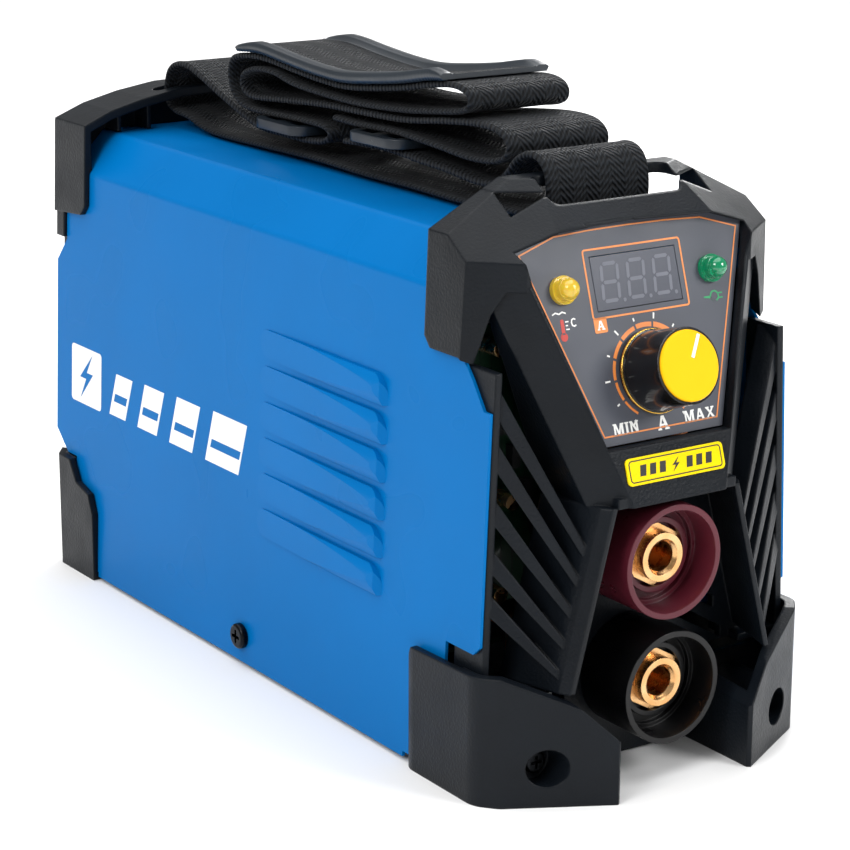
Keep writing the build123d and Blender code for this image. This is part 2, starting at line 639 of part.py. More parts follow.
# ---------------------------------------------------------------- switch, gland, earth stud
def switch_body():
    x, z = SWITCH_X, SWITCH_Z
    flange = block(x - 12.5, x + 12.5, at(254.5), at(256.5), z - 9.0, z + 9.0)
    body = flange + block(x - 10.4, x + 10.4, at(236), at(254.6), z - 6.8, z + 6.8)
    body -= block(x - 8.4, x + 8.4, at(246.5), at(260), z - 5.4, z + 5.4)
    body -= rod(1.06, (x, at(ROCKER_PIVOT), z - 6.2), (0, 0, 1), 12.4)
    tabs = [block(x + shift - 2.4, x + shift + 2.4, at(228), at(236.1), z - 0.4, z + 0.4)
            for shift in (-6, 6)]
    return body + tabs[0] + tabs[1]


ROCKER_PIVOT = 251.5          # depth of the rocker's cross pin
ROCKER_TILT = 9.0             # lean to each side of the middle


def switch_rocker():
    """Rocker of two dished pads on a cross pin, resting with one end pressed in."""
    section = [(-7.2, 5.6), (0, 3.9), (7.2, 5.6), (6.6, 0.4), (0, -1.6), (-6.6, 0.4)]
    plane = Plane(origin=(SWITCH_X, at(ROCKER_PIVOT), SWITCH_Z - 5.0), x_dir=(-1, 0, 0), z_dir=(0, 0, 1))
    rocker = extrude(plane * Rot(0, 0, 180 + ROCKER_TILT) * outline(section), 10.0)
    return rocker + rod(1.0, (SWITCH_X, at(ROCKER_PIVOT), SWITCH_Z - 6.0), (0, 0, 1), 12.0)


def cable_gland():
    x, z = GLAND_X, GLAND_Z
    body = rod(8.0, (x, at(246), z), (0, 1, 0), 9)
    flange = Plane(origin=(x, at(254.5), z), z_dir=(0, 1, 0)) * extrude(
        RegularPolygon(11.0, 6, major_radius=False), 5.0)
    body += flange + rod(8.6, (x, at(259.4), z), (0, 1, 0), 2.6)
    return body - rod(4.2, (x, at(240), z), (0, 1, 0), 30)


def gland_cap():
    x, z = GLAND_X, GLAND_Z
    cap = Plane(origin=(x, at(262.2), z), z_dir=(0, 1, 0)) * extrude(
        RegularPolygon(10.6, 6, major_radius=False), 8.0)
    cap += Plane(origin=(x, at(270.1), z), z_dir=(0, 1, 0)) * Cone(
        10.0, 6.4, 4.9, align=(Align.CENTER, Align.CENTER, Align.MIN))
    return cap - rod(4.0, (x, at(260), z), (0, 1, 0), 20)


def gland_nut():
    x, z = GLAND_X, GLAND_Z
    nut = Plane(origin=(x, at(247.8), z), z_dir=(0, 1, 0)) * extrude(
        RegularPolygon(10.5, 6, major_radius=False), 5.0)
    return nut - rod(8.02, (x, at(240), z), (0, 1, 0), 20)


def earth_stud():
    x, z = EARTH_X, EARTH_Z
    stud = rod(2.5, (x, at(244), z), (0, 1, 0), 22)
    return stud


def earth_nuts():
    x, z = EARTH_X, EARTH_Z
    nuts = []
    for depth in (247.3, 254.6, 259.6):
        nut = Plane(origin=(x, at(depth), z), z_dir=(0, 1, 0)) * extrude(
            RegularPolygon(4.0, 6, major_radius=False), 3.9)
        nuts.append(nut - rod(2.53, (x, at(240), z), (0, 1, 0), 40))
    return group(*nuts)


# ---------------------------------------------------------------- fasteners
def pan_screw(start, way, head, shank, length):
    """A cross-recess pan head screw: its head stands on start, its shank runs along way."""
    way = Vector(*way)
    base = Vector(*start)
    screw = rod(head, base - way * 2.2, way, 2.2)
    rim = screw.edges().filter_by(GeomType.CIRCLE).sort_by(Axis(base, way))[0]
    screw = fillet(rim, 1.1)
    screw += rod(shank, base, way, length)
    plane = Plane(origin=base - way * 2.4, z_dir=way)
    cross = Box(head * 1.1, head * 0.26, 3.2) + Box(head * 0.26, head * 1.1, 3.2)
    return screw - plane * cross


def cover_screws():
    x = half_width(10.6) + 0.35
    return group(pan_screw((x, at(134), 10.6), (-1, 0, 0), 4.3, 1.9, 7.0),
                 pan_screw((-x, at(134), 10.6), (1, 0, 0), 4.3, 1.9, 7.0))


def foot_screws(depth, way, length):
    x, z = FOOT_SCREW
    return group(*[pan_screw((side * x, at(depth), z), (0, way, 0), 3.6, 1.9, length)
                   for side in (1, -1)])


# ---------------------------------------------------------------- inside
def base_tray():
    """Folded steel chassis tray, with side flanges that the cover screws into."""
    inner = SHEET + 0.3
    low = front_prism(both_sides([(half_width(TRAY_Z) - inner, TRAY_Z), (half_width(24) - inner, 24.0)]),
                      at(9.0), at(252.6))
    hollow = front_prism(both_sides([(half_width(TRAY_Z) - inner - 1.2, TRAY_Z + 1.2),
                                     (half_width(25) - inner - 1.2, 25.0)]), at(10.2), at(251.4))
    tray = low - hollow
    tray -= block(-24.5, 24.5, at(5), at(12), 14.0, 30)
    for side in (1, -1):
        tray -= rod(1.95, (side * 70, at(134), 10.6), (-side, 0, 0), 30)
        tray -= rod(1.95, (side * FOOT_SCREW[0], at(5), FOOT_SCREW[1]), (0, 1, 0), 260)
    tray -= rod(2.6, (EARTH_X, at(248), EARTH_Z), (0, 1, 0), 10)
    return tray


def power_board():
    return block(-46, 46, at(40), at(222), 30.0, 31.6)


def board_pillars():
    pillars = []
    for x in (-42, 42):
        for depth in (45, 131, 217):
            pillars.append(rod(3.0, (x, at(depth), TRAY_Z + 1.25), (0, 0, 1), 25.7))
    return group(*pillars)


def heatsink(x0, x1):
    base_x = x0 if x0 > 0 else x1
    edges = sorted((base_x, base_x + math.copysign(4, x0)))
    sink = block(*edges, at(70), at(190), 31.7, 118.0)
    for index in range(11):
        z = 34.5 + index * 8.0
        sink += block(x0, x1, at(70), at(190), z, z + 1.6)
    return sink


def transformer():
    core = block(-14, 24, at(96), at(136), 31.8, 36.8) + block(-14, 24, at(96), at(136), 70, 75)
    for x in (-14, 19):
        core += block(x, x + 5, at(96), at(136), 36.5, 70.3)
    return core


def transformer_winding():
    winding = block(-8.4, 18.4, at(92), at(140), 37.0, 69.8)
    return fillet(winding.edges().filter_by(Axis.Z), 8)


def output_inductor():
    ring = Pos(0, at(168), 45.9) * Torus(16.0, 9.5)
    return ring & block(-40, 40, at(140), at(200), 36.6, 55.2)


def capacitors():
    cans = []
    for index in range(3):
        can = rod(11.0, (-36 + index * 24.5, at(205.8), 31.7), (0, 0, 1), 45.0)
        cans.append(can)
    return group(*cans)


def power_devices():
    """Transistors and diodes clamped in two rows between the heatsinks."""
    devices = []
    for side in (1, -1):
        for index in range(4):
            depth = 80 + index * 28
            x0 = side * 27.9
            x1 = side * 23.2
            devices.append(block(min(x0, x1), max(x0, x1), at(depth), at(depth + 16), 82.0, 102.0))
    return group(*devices)


def bridge_rectifier():
    return block(28, 44, at(196), at(214), 31.7, 39.5)


def control_board():
    board = block(-44, 44, at(24.0), at(25.6), 50, 136)
    board -= block(-10.5, 10.5, at(20), at(30), 40, 90)
    return board - block(22, 38, at(20), at(30), 91, 99)


def board_components():
    """Small parts on the control board that show between the louvres."""
    parts = []
    for index in range(5):
        parts.append(block(-41 + index * 4.5, -38 + index * 4.5, at(20.5), at(23.9),
                           114 - index * 11, 121 - index * 11))
        parts.append(block(20 + index * 3.0, 22.4 + index * 3.0, at(20.5), at(23.9),
                           106 + index * 5.5, 109 + index * 5.5))
    return group(*parts)


def brass_standoffs():
    posts = []
    for x, z in ((-41, 131), (-40, 56), (41, 131), (40, 56), (-36, 84), (39.5, 78)):
        posts.append(rod(2.4, (x, at(14.4), z), (0, 1, 0), 9.5))
    return group(*posts)


# ---------------------------------------------------------------- carry strap
STRAP_ROUTE = [
    # depth and height of the webbing's middle, from the tail at the front slider
    (134.0, 172.3), (122.0, 173.1), (113.0, 173.4), (104.0, 173.2), (90.0, 172.3), (76.0, 171.7),
    (58.4, 170.4), (49.0, 171.8), (44.0, 175.6), (39.6, 180.0), (34.0, 182.6), (28.6, 182.0),
    (25.0, 178.8), (23.6, 173.0), (24.4, 167.6), (30.0, 165.2), (40.0, 164.4), (67.0, 163.3),
    (94.0, 163.6), (123.0, 163.4), (153.0, 163.9), (185.0, 163.4), (214.0, 163.0), (227.0, 163.9),
    (238.0, 166.3), (247.0, 167.2), (252.6, 169.6), (253.6, 175.2), (251.4, 180.8), (246.0, 184.0),
    (238.0, 184.4), (229.0, 182.0), (219.0, 178.6), (209.0, 175.4), (199.0, 172.4), (187.0, 169.5),
    (172.0, 169.2), (157.0, 169.2), (147.0, 170.4), (143.0, 172.8), (147.0, 175.3), (163.0, 175.5),
    (184.0, 175.0), (198.0, 175.6), (205.0, 179.0), (207.6, 185.0), (205.6, 190.6), (198.0, 192.6),
    (184.0, 193.2), (163.0, 191.4), (146.0, 190.2), (130.0, 190.2), (103.0, 193.4), (85.0, 196.6),
    (73.0, 198.0), (65.5, 196.8), (63.4, 193.8), (67.5, 190.9), (84.0, 188.6), (103.0, 186.7),
    (130.0, 185.6), (163.0, 186.8), (178.0, 189.2), (190.0, 189.0), (198.4, 186.2), (199.0, 181.8),
    (192.6, 179.4), (178.0, 180.2), (163.0, 181.4), (142.0, 182.6), (103.0, 183.6), (78.0, 186.4),
    (60.0, 188.0), (49.0, 187.4), (43.8, 184.4), (44.6, 180.4), (51.0, 178.0), (64.0, 177.2),
    (82.0, 178.4), (103.0, 179.4), (125.0, 178.9), (140.0, 179.1),
]
CURVE_STEPS = 3


def curve_point(before, here, after, beyond, t):
    """A point on the smooth curve between two route points."""
    result = []
    for p0, p1, p2, p3 in zip(before, here, after, beyond):
        slope1 = (p2 - p0) / 2
        slope2 = (p3 - p1) / 2
        a = 2 * p1 - 2 * p2 + slope1 + slope2
        b = 3 * p2 - 3 * p1 - 2 * slope1 - slope2
        result.append(((a * t + b) * t + slope1) * t + p1)
    return tuple(result)


def smooth(route):
    padded = [route[0], *route, route[-1]]
    points = []
    for index in range(len(route) - 1):
        window = padded[index:index + 4]
        for step in range(CURVE_STEPS):
            points.append(curve_point(*window, step / CURVE_STEPS))
    return points + [route[-1]]


def ribbon_outline(route, thick):
    """A closed outline that follows a route at half a thickness on each side."""
    points = smooth(route)
    left, right = [], []
    for index, (d, z) in enumerate(points):
        before = points[max(index - 1, 0)]
        after = points[min(index + 1, len(points) - 1)]
        run, rise = after[0] - before[0], after[1] - before[1]
        size = math.hypot(run, rise)
        left.append((d - rise / size * thick / 2, z + run / size * thick / 2))
        right.append((d + rise / size * thick / 2, z - run / size * thick / 2))
    return left + right[::-1]


def carry_strap():
    return side_prism(ribbon_outline(STRAP_ROUTE, WEBBING_THICK), -WEBBING / 2, WEBBING / 2)


PAD_ROUTE = [(200.0, 195.2), (184.0, 195.9), (163.0, 194.0), (146.0, 192.8), (130.0, 192.8),
             (103.0, 196.0), (85.0, 199.2), (76.0, 200.3)]


def shoulder_pad():
    """Moulded pad on the top layer: a thin sole with a raised rail along each side."""
    half = WEBBING / 2 + 1.5
    pad = side_prism(ribbon_outline(PAD_ROUTE, 2.4), -half, half)
    lifted = [(depth, z + 1.5) for depth, z in PAD_ROUTE]
    for side in (1, -1):
        x0, x1 = sorted((side * (half - 7.0), side * half))
        pad += side_prism(ribbon_outline(lifted, 2.4), x0, x1)
    return pad


def slider(depth, z):
    """Three-bar slider: an outer frame with a middle bar, lying on the webbing."""
    half = WEBBING / 2 + 3.6
    frame = block(-half, half, at(depth - 15), at(depth + 15), z - 1.5, z + 1.5)
    frame = fillet(frame.edges().filter_by(Axis.Z), 5.0)
    for side in (1, -1):
        y0, y1 = sorted((at(depth + side * 3.0), at(depth + side * 11.0)))
        frame -= block(-half + 3.4, half - 3.4, y0, y1, z - 3, z + 3)
    return frame


# ---------------------------------------------------------------- all the pieces
def yellow_label():
    """Thin printed plate on the hood, between the control label and the sockets."""
    return extrude(panel_plane(0, -27.5, HOOD_OUT + 0.02) * RectangleRounded(36.0, 8.0, 1.5), 0.5)


def all_parts():
    return {
        "cover": cover(),
        "front_bezel": front_bezel(),
        "rear_bezel": rear_bezel(),
        "rear_panel": rear_panel(),
        "base_tray": base_tray(),
        "front_right_foot": front_foot(),
        "front_left_foot": mirrored(front_foot()),
        "rear_right_foot": rear_foot(),
        "rear_left_foot": mirrored(rear_foot()),
        "control_label": control_label(),
        "yellow_label": yellow_label(),
        "temperature_lamp": lamp(-27.3),
        "power_lamp": lamp(27.3),
        "display_window": display_window(),
        "display_module": display_module(),
        "knob_body": knob_body(),
        "knob_cap": knob_cap(),
        "knob_pointer": knob_pointer(),
        "potentiometer_shaft": potentiometer_shaft(),
        "potentiometer": potentiometer(),
        "potentiometer_nut": potentiometer_nut(),
        "positive_socket_cup": socket_cup(SOCKET_Z[0], -16.6),
        "negative_socket_cup": socket_cup(SOCKET_Z[1], -17.4),
        "positive_contact": socket_contact(SOCKET_Z[0], -16.6),
        "negative_contact": socket_contact(SOCKET_Z[1], -17.4),
        "positive_socket_nut": socket_nut(SOCKET_Z[0]),
        "negative_socket_nut": socket_nut(SOCKET_Z[1]),
        "positive_busbar": busbar(SOCKET_Z[0], 96.0, 30.0),
        "negative_busbar": busbar(SOCKET_Z[1], 46.0, -30.0),
        "fan_frame": fan_frame(),
        "fan_rotor": fan_rotor(),
        "fan_guard": fan_guard(),
        "fan_screws": fan_screws(),
        "switch_body": switch_body(),
        "switch_rocker": switch_rocker(),
        "cable_gland": cable_gland(),
        "gland_cap": gland_cap(),
        "gland_nut": gland_nut(),
        "earth_stud": earth_stud(),
        "earth_nuts": earth_nuts(),
        "cover_screws": cover_screws(),
        "front_foot_screws": foot_screws(-7.2, 1, 18.5),
        "rear_foot_screws": foot_screws(262.2, -1, 12.5),
        "power_board": power_board(),
        "board_pillars": board_pillars(),
        "left_heatsink": heatsink(-46, -28),
        "right_heatsink": heatsink(28, 46),
        "transformer_core": transformer(),
        "transformer_winding": transformer_winding(),
        "output_inductor": output_inductor(),
        "capacitors": capacitors(),
        "power_devices": power_devices(),
        "bridge_rectifier": bridge_rectifier(),
        "control_board": control_board(),
        "board_components": board_components(),
        "brass_standoffs": brass_standoffs(),
        "carry_strap": carry_strap(),
        "shoulder_pad": shoulder_pad(),
        "front_slider": slider(113.0, 175.9),
        "rear_slider": slider(172.0, 172.1),
    }


def main():
    os.makedirs("parts", exist_ok=True)
    for name, solid in all_parts().items():
        save(solid, name)


main()
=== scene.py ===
# %% [markdown]
# A small stick welding inverter. The CAD model gives every hard piece its size and place,
# and this lesson adds what CAD can't: surface finishes, printed graphics, woven webbing, a
# moulded pad, buckles, a floor, light and a camera. All lengths are metres, +Z is up and
# the front panel faces -Y.

# %% Load the CAD frame
import math

import bmesh
import bpy
from mathutils import Matrix, Vector


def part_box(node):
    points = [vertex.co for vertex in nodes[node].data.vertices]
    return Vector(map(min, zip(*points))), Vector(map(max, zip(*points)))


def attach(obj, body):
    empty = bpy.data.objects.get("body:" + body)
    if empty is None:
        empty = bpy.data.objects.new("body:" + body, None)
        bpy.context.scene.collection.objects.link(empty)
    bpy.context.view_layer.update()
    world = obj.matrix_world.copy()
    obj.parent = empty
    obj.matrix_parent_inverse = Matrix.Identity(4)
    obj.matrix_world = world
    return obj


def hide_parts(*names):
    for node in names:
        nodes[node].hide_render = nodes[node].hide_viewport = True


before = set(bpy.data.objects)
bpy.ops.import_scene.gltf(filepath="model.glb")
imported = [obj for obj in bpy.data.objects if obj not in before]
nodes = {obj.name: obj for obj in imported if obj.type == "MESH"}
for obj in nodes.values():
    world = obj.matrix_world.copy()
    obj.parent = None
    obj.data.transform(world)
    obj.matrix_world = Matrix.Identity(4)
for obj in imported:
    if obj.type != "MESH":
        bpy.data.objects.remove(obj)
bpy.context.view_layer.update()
MM = 0.001
print("CAD pieces:", len(nodes))


# %% [markdown]
# Every finish below is a node tree. Colours are written as the hex values a paint chart
# would give, which are sRGB, so one function turns them to the linear values that the
# renderer adds and multiplies. Another adds one node with its settings and its links.

# %% Helpers for colours and nodes
def linear(code):
    """An sRGB hex colour as linear red, green, blue and alpha."""
    values = [int(code[i:i + 2], 16) / 255 for i in (1, 3, 5)]
    return tuple(v / 12.92 if v <= 0.04045 else ((v + 0.055) / 1.055) ** 2.4
                 for v in values) + (1.0,)


def add(tree, kind, sockets=(), **settings):
    """Adds a node. Sockets are pairs of an input and a value or an output to link."""
    node = tree.nodes.new(kind)
    for name, value in settings.items():
        setattr(node, name, value)
    for key, value in sockets:
        if isinstance(value, bpy.types.NodeSocket):
            tree.links.new(value, node.inputs[key])
        else:
            node.inputs[key].default_value = value
    return node


def finish(name, colour, roughness, **extra):
    """A new material with a Principled shader, and the tree to add detail to."""
    material = bpy.data.materials.new(name)
    material.use_nodes = True
    tree = material.node_tree
    tree.nodes.clear()
    shader = add(tree, "ShaderNodeBsdfPrincipled",
                 [("Base Color", linear(colour)), ("Roughness", roughness)])
    for key, value in extra.items():
        shader.inputs[key.replace("_", " ").title().replace("Ior", "IOR")].default_value = value
    out = add(tree, "ShaderNodeOutputMaterial", [("Surface", shader.outputs[0])])
    out.is_active_output = True
    return material, tree, shader


def position(tree, scale=(1000, 1000, 1000)):
    """Object coordinates, in millimetres unless the scale says otherwise."""
    where = add(tree, "ShaderNodeTexCoord")
    return add(tree, "ShaderNodeMapping",
               [("Vector", where.outputs["Object"]), ("Scale", scale)]).outputs[0]


def grain(tree, size_mm, detail=2.0):
    """Noise whose lumps are about this size."""
    return add(tree, "ShaderNodeTexNoise",
               [("Vector", position(tree)), ("Scale", 1 / size_mm),
                ("Detail", detail)]).outputs["Fac"]


def ramp(tree, factor, stops):
    """A colour ramp with these (position, hex colour) stops."""
    node = add(tree, "ShaderNodeValToRGB", [("Fac", factor)])
    points = node.color_ramp.elements
    while len(points) < len(stops):
        points.new(0.5)
    for point, (place, colour) in zip(points, stops):
        point.position = place
        point.color = linear(colour)
    return node.outputs["Color"]


def spread(tree, factor, low, high, from_low=0.3, from_high=0.7):
    """Stretches a 0 to 1 pattern to a range of roughness or height."""
    return add(tree, "ShaderNodeMapRange", [("Value", factor), ("From Min", from_low),
               ("From Max", from_high), ("To Min", low), ("To Max", high)]).outputs[0]


def bump(tree, shader, height, depth_mm, edge_mm=0.0, strength=1.0):
    """Raises the surface by a pattern, over edges rounded by a small radius."""
    sockets = [("Height", height), ("Distance", depth_mm * MM), ("Strength", strength)]
    if edge_mm:
        rounded = add(tree, "ShaderNodeBevel", [("Radius", edge_mm * MM)], samples=6)
        sockets.append(("Normal", rounded.outputs[0]))
    node = add(tree, "ShaderNodeBump", sockets)
    tree.links.new(node.outputs[0], shader.inputs["Normal"])


def paint(material, *names):
    """Gives CAD pieces a finish."""
    for name in names:
        slots = nodes[name].material_slots
        for slot in slots:
            slot.material = material
        if not slots:
            nodes[name].data.materials.append(material)


# %% [markdown]
# The cover is thin steel, folded and powder-coated. Powder melts into a glossy skin with a
# faint orange peel about 3 mm across. Its reflections are kept much weaker here than a
# typical powder coat's, because white light from all round would wash the blue out.

# %% Powder-coated cover
blue, tree, shader = finish("powder_coated_steel_blue", "#0069ae", 0.3, coat_weight=0.01,
                            coat_roughness=0.1, specular_ior_level=0.05)
tree.links.new(ramp(tree, grain(tree, 60, 3), [(0.3, "#0067ab"), (0.7, "#006cb3")]),
               shader.inputs["Base Color"])
tree.links.new(spread(tree, grain(tree, 30, 1), 0.26, 0.34), shader.inputs["Roughness"])
bump(tree, shader, grain(tree, 3.0, 0), 0.008, 0.0, 0.4)
paint(blue, "cover")
print("cover finish ready")


# %% [markdown]
# The guards, the front and the feet are injection-moulded ABS. The mould is spark-eroded,
# which prints a fine leathery grain: it scatters light, so black plastic looks charcoal.
# Such a grain is typically about 0.3 mm and is drawn three times as coarse, so that it
# shows. Edges rounded by a millimetre catch a thin bright line.

# %% Textured mouldings
def moulded(name, dark, light, roughness, grain_mm, depth_mm, edge_mm=0.5, **extra):
    """A moulded plastic with a grain, handled patches and rounded edges."""
    material, tree, shader = finish(name, dark, roughness, **extra)
    tree.links.new(ramp(tree, grain(tree, 25, 4), [(0.3, dark), (0.75, light)]),
                   shader.inputs["Base Color"])
    tree.links.new(spread(tree, grain(tree, 12, 5), roughness - 0.06, roughness + 0.08),
                   shader.inputs["Roughness"])
    bump(tree, shader, grain(tree, grain_mm, 2), depth_mm, edge_mm, 0.6)
    return material


textured_abs = moulded("spark_eroded_abs_charcoal", "#0c1015", "#11161c", 0.36, 0.9, 0.2, 1.0,
                      specular_ior_level=0.17)
paint(textured_abs, "front_bezel", "rear_bezel", "front_right_foot", "front_left_foot",
      "rear_right_foot", "rear_left_foot")
paint(moulded("powder_coated_panel_black", "#0b0c0e", "#0f1013", 0.45, 1.2, 0.05, 0.3),
      "rear_panel")
paint(moulded("glass_filled_nylon_black", "#0d0e0f", "#131416", 0.4, 0.9, 0.04, 0.3),
      "fan_frame", "fan_rotor", "switch_body", "cable_gland", "gland_cap", "gland_nut",
      "display_module")
paint(moulded("gloss_phenolic_black", "#050506", "#08080a", 0.3, 1.5, 0.02, 0.5,
              specular_ior_level=0.3), "negative_socket_cup")
paint(moulded("gloss_phenolic_maroon", "#521a26", "#5c202c", 0.3, 1.5, 0.02, 0.5,
              specular_ior_level=0.3), "positive_socket_cup")
paint(moulded("polished_abs_black", "#030304", "#050506", 0.2, 2.0, 0.01, 0.3,
              coat_weight=0.4, coat_roughness=0.06), "knob_body")
paint(moulded("satin_abs_yellow", "#f6b90e", "#fac014", 0.42, 1.0, 0.02, 0.3,
              specular_ior_level=0.08), "knob_cap")
paint(moulded("moulded_white_nylon", "#d9d6cb", "#e4e1d6", 0.5, 0.8, 0.03, 0.2),
      "board_pillars")
paint(moulded("printed_white", "#f4f4f1", "#fbfbf8", 0.45, 1.0, 0.01, 0.0), "knob_pointer")
paint(moulded("gloss_abs_red", "#b3160f", "#bd2017", 0.28, 1.5, 0.01, 0.3), "switch_rocker")
paint(moulded("moulded_epoxy_black", "#111214", "#191a1c", 0.5, 0.5, 0.03, 0.15),
      "power_devices", "bridge_rectifier", "board_components")
print("mouldings ready")


# %% [markdown]
# The control label is a polyester film printed from behind, with a matt face that keeps
# lamps from glaring off it. The yellow plate is the same film with a gloss face. Lenses are
# clear tinted acrylic, and the window is smoked polycarbonate.

# %% Films and lenses
paint(moulded("matt_overlay_film", "#474a53", "#4c4f58", 0.4, 0.7, 0.015, 0.2,
              specular_ior_level=0.4), "control_label")
paint(moulded("gloss_film_yellow", "#f2d210", "#f6d816", 0.34, 2.0, 0.01, 0.2,
              specular_ior_level=0.06), "yellow_label")


def lens(name, colour, node):
    """Tinted clear acrylic, lit by the room only."""
    material, tree, shader = finish(name, colour, 0.12, transmission_weight=0.35, ior=1.49,
                                    coat_weight=0.6, coat_roughness=0.03,
                                    subsurface_weight=0.2, subsurface_scale=0.003)
    bump(tree, shader, grain(tree, 2.0, 1), 0.03, 0.3, 0.4)
    paint(material, node)


lens("tinted_acrylic_amber", "#f2cf3c", "temperature_lamp")
lens("tinted_acrylic_green", "#0d9a68", "power_lamp")
smoked, tree, shader = finish("smoked_polycarbonate", "#4a4d57", 0.26, specular_ior_level=0.4,
                              coat_weight=0.05, coat_roughness=0.05)
bump(tree, shader, grain(tree, 6.0, 1), 0.01, 0.25, 0.3)
paint(smoked, "display_window")


# %% [markdown]
# Metals keep the default index of refraction, and their colour is their reflection. Turned
# brass has fine rings from the lathe, sheet steel is zinc-plated with a faint spangle, and
# extruded aluminium shows draw lines along its length.

# %% Metals
# The wave texture repeats every 0.314 units at a scale of 1.
WAVE_UNIT = 0.314


def metal(name, dark, light, roughness, lines_axis=None, pitch_mm=0.6, depth_mm=0.03,
          edge_mm=0.2):
    """A metal with fine machining lines along one axis, or a cast or plated grain."""
    material, tree, shader = finish(name, dark, roughness, metallic=1.0)
    tree.links.new(ramp(tree, grain(tree, 6, 4), [(0.3, dark), (0.7, light)]),
                   shader.inputs["Base Color"])
    tree.links.new(spread(tree, grain(tree, 3, 4), roughness - 0.06, roughness + 0.1),
                   shader.inputs["Roughness"])
    if lines_axis:
        lines = add(tree, "ShaderNodeTexWave",
                    [("Vector", position(tree)), ("Scale", WAVE_UNIT / pitch_mm),
                     ("Distortion", 0.3), ("Detail", 1.0)],
                    wave_type="BANDS", bands_direction=lines_axis)
        bump(tree, shader, lines.outputs["Fac"], depth_mm, edge_mm, 0.7)
    else:
        bump(tree, shader, grain(tree, pitch_mm, 3), depth_mm, edge_mm, 0.4)
    return material


turned_brass = metal("turned_brass", "#d6a066", "#e9c08c", 0.24, "Y", 0.7, 0.03)
paint(turned_brass, "positive_contact", "negative_contact", "positive_socket_nut",
      "negative_socket_nut", "brass_standoffs", "earth_stud", "earth_nuts")
paint(metal("bare_copper_bar", "#b26a45", "#c98662", 0.3, "X", 0.8), "positive_busbar",
      "negative_busbar")
paint(metal("enamelled_copper_wire", "#7a3c1c", "#96502a", 0.28, "Z", 2.0, 0.4),
      "output_inductor")
paint(metal("turned_steel", "#8d8f93", "#a9abaf", 0.28, "Y", 0.5), "potentiometer_shaft",
      "potentiometer", "potentiometer_nut")
paint(metal("zinc_plated_sheet", "#a8abad", "#bcbfc0", 0.34, None, 7.0, 0.02), "base_tray")
paint(metal("bright_plated_wire", "#c4c6c9", "#d6d8da", 0.14, None, 3.0, 0.01), "fan_guard",
      "fan_screws")
paint(metal("black_oxide_steel", "#17181a", "#26282b", 0.3, None, 0.8, 0.03), "cover_screws",
      "front_foot_screws", "rear_foot_screws")
paint(metal("extruded_aluminium", "#b9bcc0", "#cfd2d5", 0.32, "Z", 0.7), "left_heatsink",
      "right_heatsink")
paint(metal("sintered_ferrite", "#2b2a2b", "#3a3839", 0.6, None, 0.7, 0.05),
      "transformer_core")
print("metals ready")


# %% [markdown]
# The boards are glass epoxy under green solder resist, with tracks that show as a darker
# relief. The transformer is wrapped in yellow polyester tape, whose turns overlap.

# %% Boards, tape and sleeves
resist, tree, shader = finish("solder_resist_green", "#08301b", 0.35, coat_weight=0.2)
tracks = add(tree, "ShaderNodeTexBrick",
             [("Vector", position(tree, (120, 120, 120))), ("Scale", 1.0), ("Mortar Size", 0.03),
              ("Color1", linear("#0a351e")), ("Color2", linear("#092e1a")),
              ("Mortar", linear("#051f11"))])
tree.links.new(tracks.outputs["Color"], shader.inputs["Base Color"])
bump(tree, shader, tracks.outputs["Fac"], 0.05, 0.1)
paint(resist, "power_board", "control_board")


def wrapped(name, dark, light, axis, pitch_mm, node):
    """Tape or sleeve in overlapping turns."""
    material, tree, shader = finish(name, dark, 0.35, coat_weight=0.2)
    turns = add(tree, "ShaderNodeTexWave",
                [("Vector", position(tree)), ("Scale", WAVE_UNIT / pitch_mm), ("Distortion", 0.6)],
                wave_profile="SAW", bands_direction=axis)
    tree.links.new(ramp(tree, turns.outputs["Fac"], [(0.0, dark), (1.0, light)]),
                   shader.inputs["Base Color"])
    bump(tree, shader, turns.outputs["Fac"], 0.1, 0.2)
    paint(material, node)


wrapped("polyester_tape_yellow", "#c9930f", "#dca91f", "Z", 6.0, "transformer_winding")
wrapped("heat_shrink_sleeve", "#141824", "#1f2536", "Z", 12.0, "capacitors")
print("all CAD finishes ready")


# %% [markdown]
# Graphics are screen printed: a layer of ink a few hundredths of a millimetre thick. Each is
# a flat filled curve, made a mesh and then laid on its surface. Loops inside loops become
# holes, so a closed outline is two loops. The panel leans back, and positions on it are given in
# millimetres across and up from the dial's axis.

# %% Helpers for printing
PANEL_SLOPE = 0.322
PANEL_TILT = math.atan(PANEL_SLOPE)
PANEL_CENTRE = Vector((0, -0.1289, 0.1226))
PANEL_OUT = Vector((0, -math.cos(PANEL_TILT), math.sin(PANEL_TILT)))
INK = 0.00004
# How far prints stand out from the panel's plane, in millimetres.
FILM_TOP = 0.03
OVER_INK = 0.12
WINDOW_TOP = 0.01
PLATE_TOP = 3.84


def surface_frame(origin, across, out):
    """A matrix that lays flat work on a surface: x across, y up, z out of it."""
    across, out = Vector(across).normalized(), Vector(out).normalized()
    up = out.cross(across)
    place = Matrix((across, up, out)).transposed().to_4x4()
    place.translation = Vector(origin)
    return place


def panel(out_mm=0.0):
    return surface_frame(PANEL_CENTRE + PANEL_OUT * out_mm * MM, (1, 0, 0), PANEL_OUT)


def settle(piece, name, place, material, body="housing"):
    """Puts a finished piece in place in its mesh, names it and gives it to a body."""
    piece.name = name
    piece.data.name = name
    piece.data.transform(place)
    piece.data.materials.clear()
    piece.data.materials.append(material)
    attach(piece, body)
    return piece


